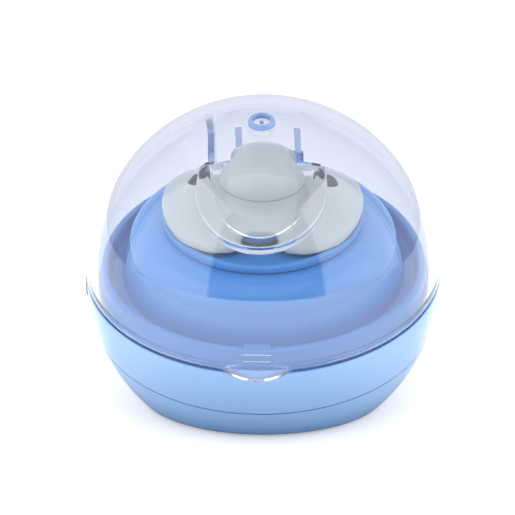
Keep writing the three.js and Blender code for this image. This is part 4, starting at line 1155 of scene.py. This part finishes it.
def table_finish():
    """Painted white board: matt, with a painted glow that lights the case from below as a lamp would,
    and brighter still to the camera so that it fades into the backdrop.
    """
    made, tree = material("white_board_glowing")
    where = node(tree, "ShaderNodeTexCoord").outputs["Object"]
    grain = node(tree, "ShaderNodeTexNoise", [("Vector", where)], Scale=1 / TABLE_GRAIN)
    bump = node(tree, "ShaderNodeBump", [("Height", grain.outputs["Fac"])], Distance=0.00003)
    matt = node(
        tree, "ShaderNodeBsdfDiffuse", [("Normal", bump.outputs["Normal"])], Color=TABLE_WHITE,
    )
    away = node(tree, "ShaderNodeVectorMath", [(0, where)], operation="LENGTH").outputs["Value"]
    bearing = node(tree, "ShaderNodeVectorMath", [(0, where)], operation="NORMALIZE")
    ahead = node(
        tree, "ShaderNodeVectorMath", [(0, bearing.outputs[0])], [(1, (0, -1, 0))],
        operation="DOT_PRODUCT",
    )
    sector = node(
        tree, "ShaderNodeMapRange", [("Value", ahead.outputs["Value"])],
        From_Min=0.0, From_Max=0.6, To_Min=GLOW_FRONT_SHARE, To_Max=1.0,
    )
    near = node(
        tree, "ShaderNodeMapRange", [("Value", away)],
        From_Min=GLOW_NEAR[0], From_Max=GLOW_NEAR[1], To_Min=0.0, To_Max=GLOW_LEVEL,
    )
    close = node(
        tree, "ShaderNodeMapRange", [("Value", away)],
        From_Min=MIRRORED_NEAR[0], From_Max=MIRRORED_NEAR[1], To_Min=0.0, To_Max=MIRRORED_LEVEL,
    )
    far = node(
        tree, "ShaderNodeMapRange", [("Value", away)],
        From_Min=GLOW_END[0], From_Max=GLOW_END[1], To_Min=1.0, To_Max=0.0,
    )
    path = node(tree, "ShaderNodeLightPath")
    mirrored = node(
        tree, "ShaderNodeMix",
        [(0, path.outputs["Is Glossy Ray"]), (2, near.outputs[0]), (3, close.outputs[0])],
        data_type="FLOAT",
    )
    reach = node(
        tree, "ShaderNodeMath", [(0, mirrored.outputs[0]), (1, far.outputs[0])], operation="MULTIPLY",
    )
    lit = node(
        tree, "ShaderNodeMath", [(0, reach.outputs[0]), (1, sector.outputs[0])], operation="MULTIPLY",
    )
    seen = node(
        tree, "ShaderNodeMix", [(0, path.outputs["Is Camera Ray"])], [(3, CAMERA_LEVEL)],
        data_type="FLOAT",
    )
    through = node(
        tree, "ShaderNodeMix", [(0, path.outputs["Is Transmission Ray"]), (2, lit.outputs[0])],
        [(3, THROUGH_LEVEL)], data_type="FLOAT",
    )
    level = node(
        tree, "ShaderNodeMath", [(0, through.outputs[0]), (1, seen.outputs[0])], operation="ADD",
    )
    glow = node(
        tree, "ShaderNodeEmission", [("Strength", level.outputs[0])], Color=(1, 1, 1, 1),
    )
    both = node(tree, "ShaderNodeAddShader", [(0, matt.outputs[0]), (1, glow.outputs[0])])
    node(tree, "ShaderNodeOutputMaterial", [("Surface", both.outputs[0])])
    return made


TABLE_SIZE = 6
table = bmesh.new()
bmesh.ops.create_grid(table, x_segments=1, y_segments=1, size=TABLE_SIZE)
floor = loose(table, "table")
floor.data.materials.append(table_finish())


def studio_world():
    """A white room, dim behind the camera. What the camera sees of it, also through the lid, is
    plain white."""
    world = bpy.data.worlds.new("studio")
    world.use_nodes = True
    tree = world.node_tree
    tree.nodes.clear()
    bearing = node(tree, "ShaderNodeTexCoord").outputs["Generated"]
    facing = node(tree, "ShaderNodeSeparateXYZ", [(0, bearing)])
    front = node(
        tree, "ShaderNodeMapRange", [("Value", facing.outputs["Y"])],
        From_Min=-0.8, From_Max=0.1, To_Min=0.12, To_Max=1.1,
    )
    high = node(
        tree, "ShaderNodeMapRange", [("Value", facing.outputs["Z"])],
        From_Min=0.35, From_Max=0.95, To_Min=1.0, To_Max=0.95,
    )
    room = node(
        tree, "ShaderNodeMath", [(0, front.outputs[0]), (1, high.outputs[0])], operation="MULTIPLY",
    )
    path = node(tree, "ShaderNodeLightPath")
    seen = node(
        tree, "ShaderNodeMath",
        [(0, path.outputs["Is Camera Ray"]), (1, path.outputs["Is Transmission Ray"])],
        operation="MAXIMUM",
    )
    level = node(
        tree, "ShaderNodeMix", [(0, seen.outputs[0]), (2, room.outputs[0])], [(3, 1.0)],
        data_type="FLOAT",
    )
    backdrop = node(
        tree, "ShaderNodeBackground", [("Strength", level.outputs[0])], Color=(1, 1, 1, 1),
    )
    node(tree, "ShaderNodeOutputWorld", [("Surface", backdrop.outputs[0])])
    return world


bpy.context.scene.world = studio_world()


def softbox(name, centre, target, width, height, watts):
    lamp = bpy.data.lights.new(name, "AREA")
    lamp.shape = "RECTANGLE"
    lamp.size = width
    lamp.size_y = height
    lamp.energy = watts
    made = bpy.data.objects.new(name, lamp)
    bpy.context.scene.collection.objects.link(made)
    made.location = centre
    made.rotation_mode = "QUATERNION"
    made.rotation_quaternion = (Vector(target) - Vector(centre)).to_track_quat("-Z", "Y")
    made.visible_camera = False
    return made


# Camera bearing and height in degrees, and its distance in metres: far off, as in a packshot
AZIMUTH = 2.3
ELEVATION = 19
DISTANCE = 2.0
SOFTBOX_AWAY = 1.2
SOFTBOX_HEIGHT = 1.7
SOFTBOX_WATTS = 8.5


def side_softbox(name, first, last):
    """A tall panel from table level up, whose edges stand at two bearings from the camera's own."""
    bearings = [math.radians(angle + AZIMUTH) for angle in (first, last)]
    ends = [Vector((math.sin(a), -math.cos(a), 0)) * SOFTBOX_AWAY for a in bearings]
    middle = (ends[0] + ends[1]) / 2
    softbox(
        name, (middle.x, middle.y, SOFTBOX_HEIGHT / 2), (0, 0, SOFTBOX_HEIGHT / 2),
        (ends[0] - ends[1]).length, SOFTBOX_HEIGHT, SOFTBOX_WATTS,
    )


side_softbox("left_softbox", -36, -100)
side_softbox("right_softbox", 40, 102)
# Overhead light: it fills the shadows, and is kept out of the dome's reflections
overhead = softbox(
    "overhead_softbox", (0, -0.5, 1.1), (0, 0, 0.03), width=0.9, height=0.9, watts=3.0,
)
overhead.visible_glossy = False

# Camera at the photograph's angle. The case fills the frame as in the photograph: a pixel is this
# many metres, and the ball's middle is this many pixels right of and under the picture's middle.

IMAGE = 515
PIXEL = 0.0002259
MIDDLE_RIGHT = 6.0
MIDDLE_UNDER = 14.5
SENSOR = 36

turned = math.radians(AZIMUTH)
raised = math.radians(ELEVATION)
back = Vector((
    math.sin(turned) * math.cos(raised), -math.cos(turned) * math.cos(raised), math.sin(raised),
))
right = Vector((math.cos(turned), math.sin(turned), 0))
up = back.cross(right)
middle = Vector((AXIS_X, AXIS_Y, BALL_HEIGHT / 1000))
aim = middle - right * MIDDLE_RIGHT * PIXEL + up * MIDDLE_UNDER * PIXEL
camera = bpy.data.objects.new("camera", bpy.data.cameras.new("camera"))
bpy.context.scene.collection.objects.link(camera)
camera.data.sensor_width = SENSOR
camera.data.lens = SENSOR * DISTANCE / (IMAGE * PIXEL)
camera.data.clip_start = 0.1
camera.data.clip_end = 50
camera.location = aim + back * DISTANCE
camera.rotation_mode = "QUATERNION"
camera.rotation_quaternion = (-back).to_track_quat("-Z", "Y")
bpy.context.scene.camera = camera
bpy.context.scene.view_settings.view_transform = "Standard"
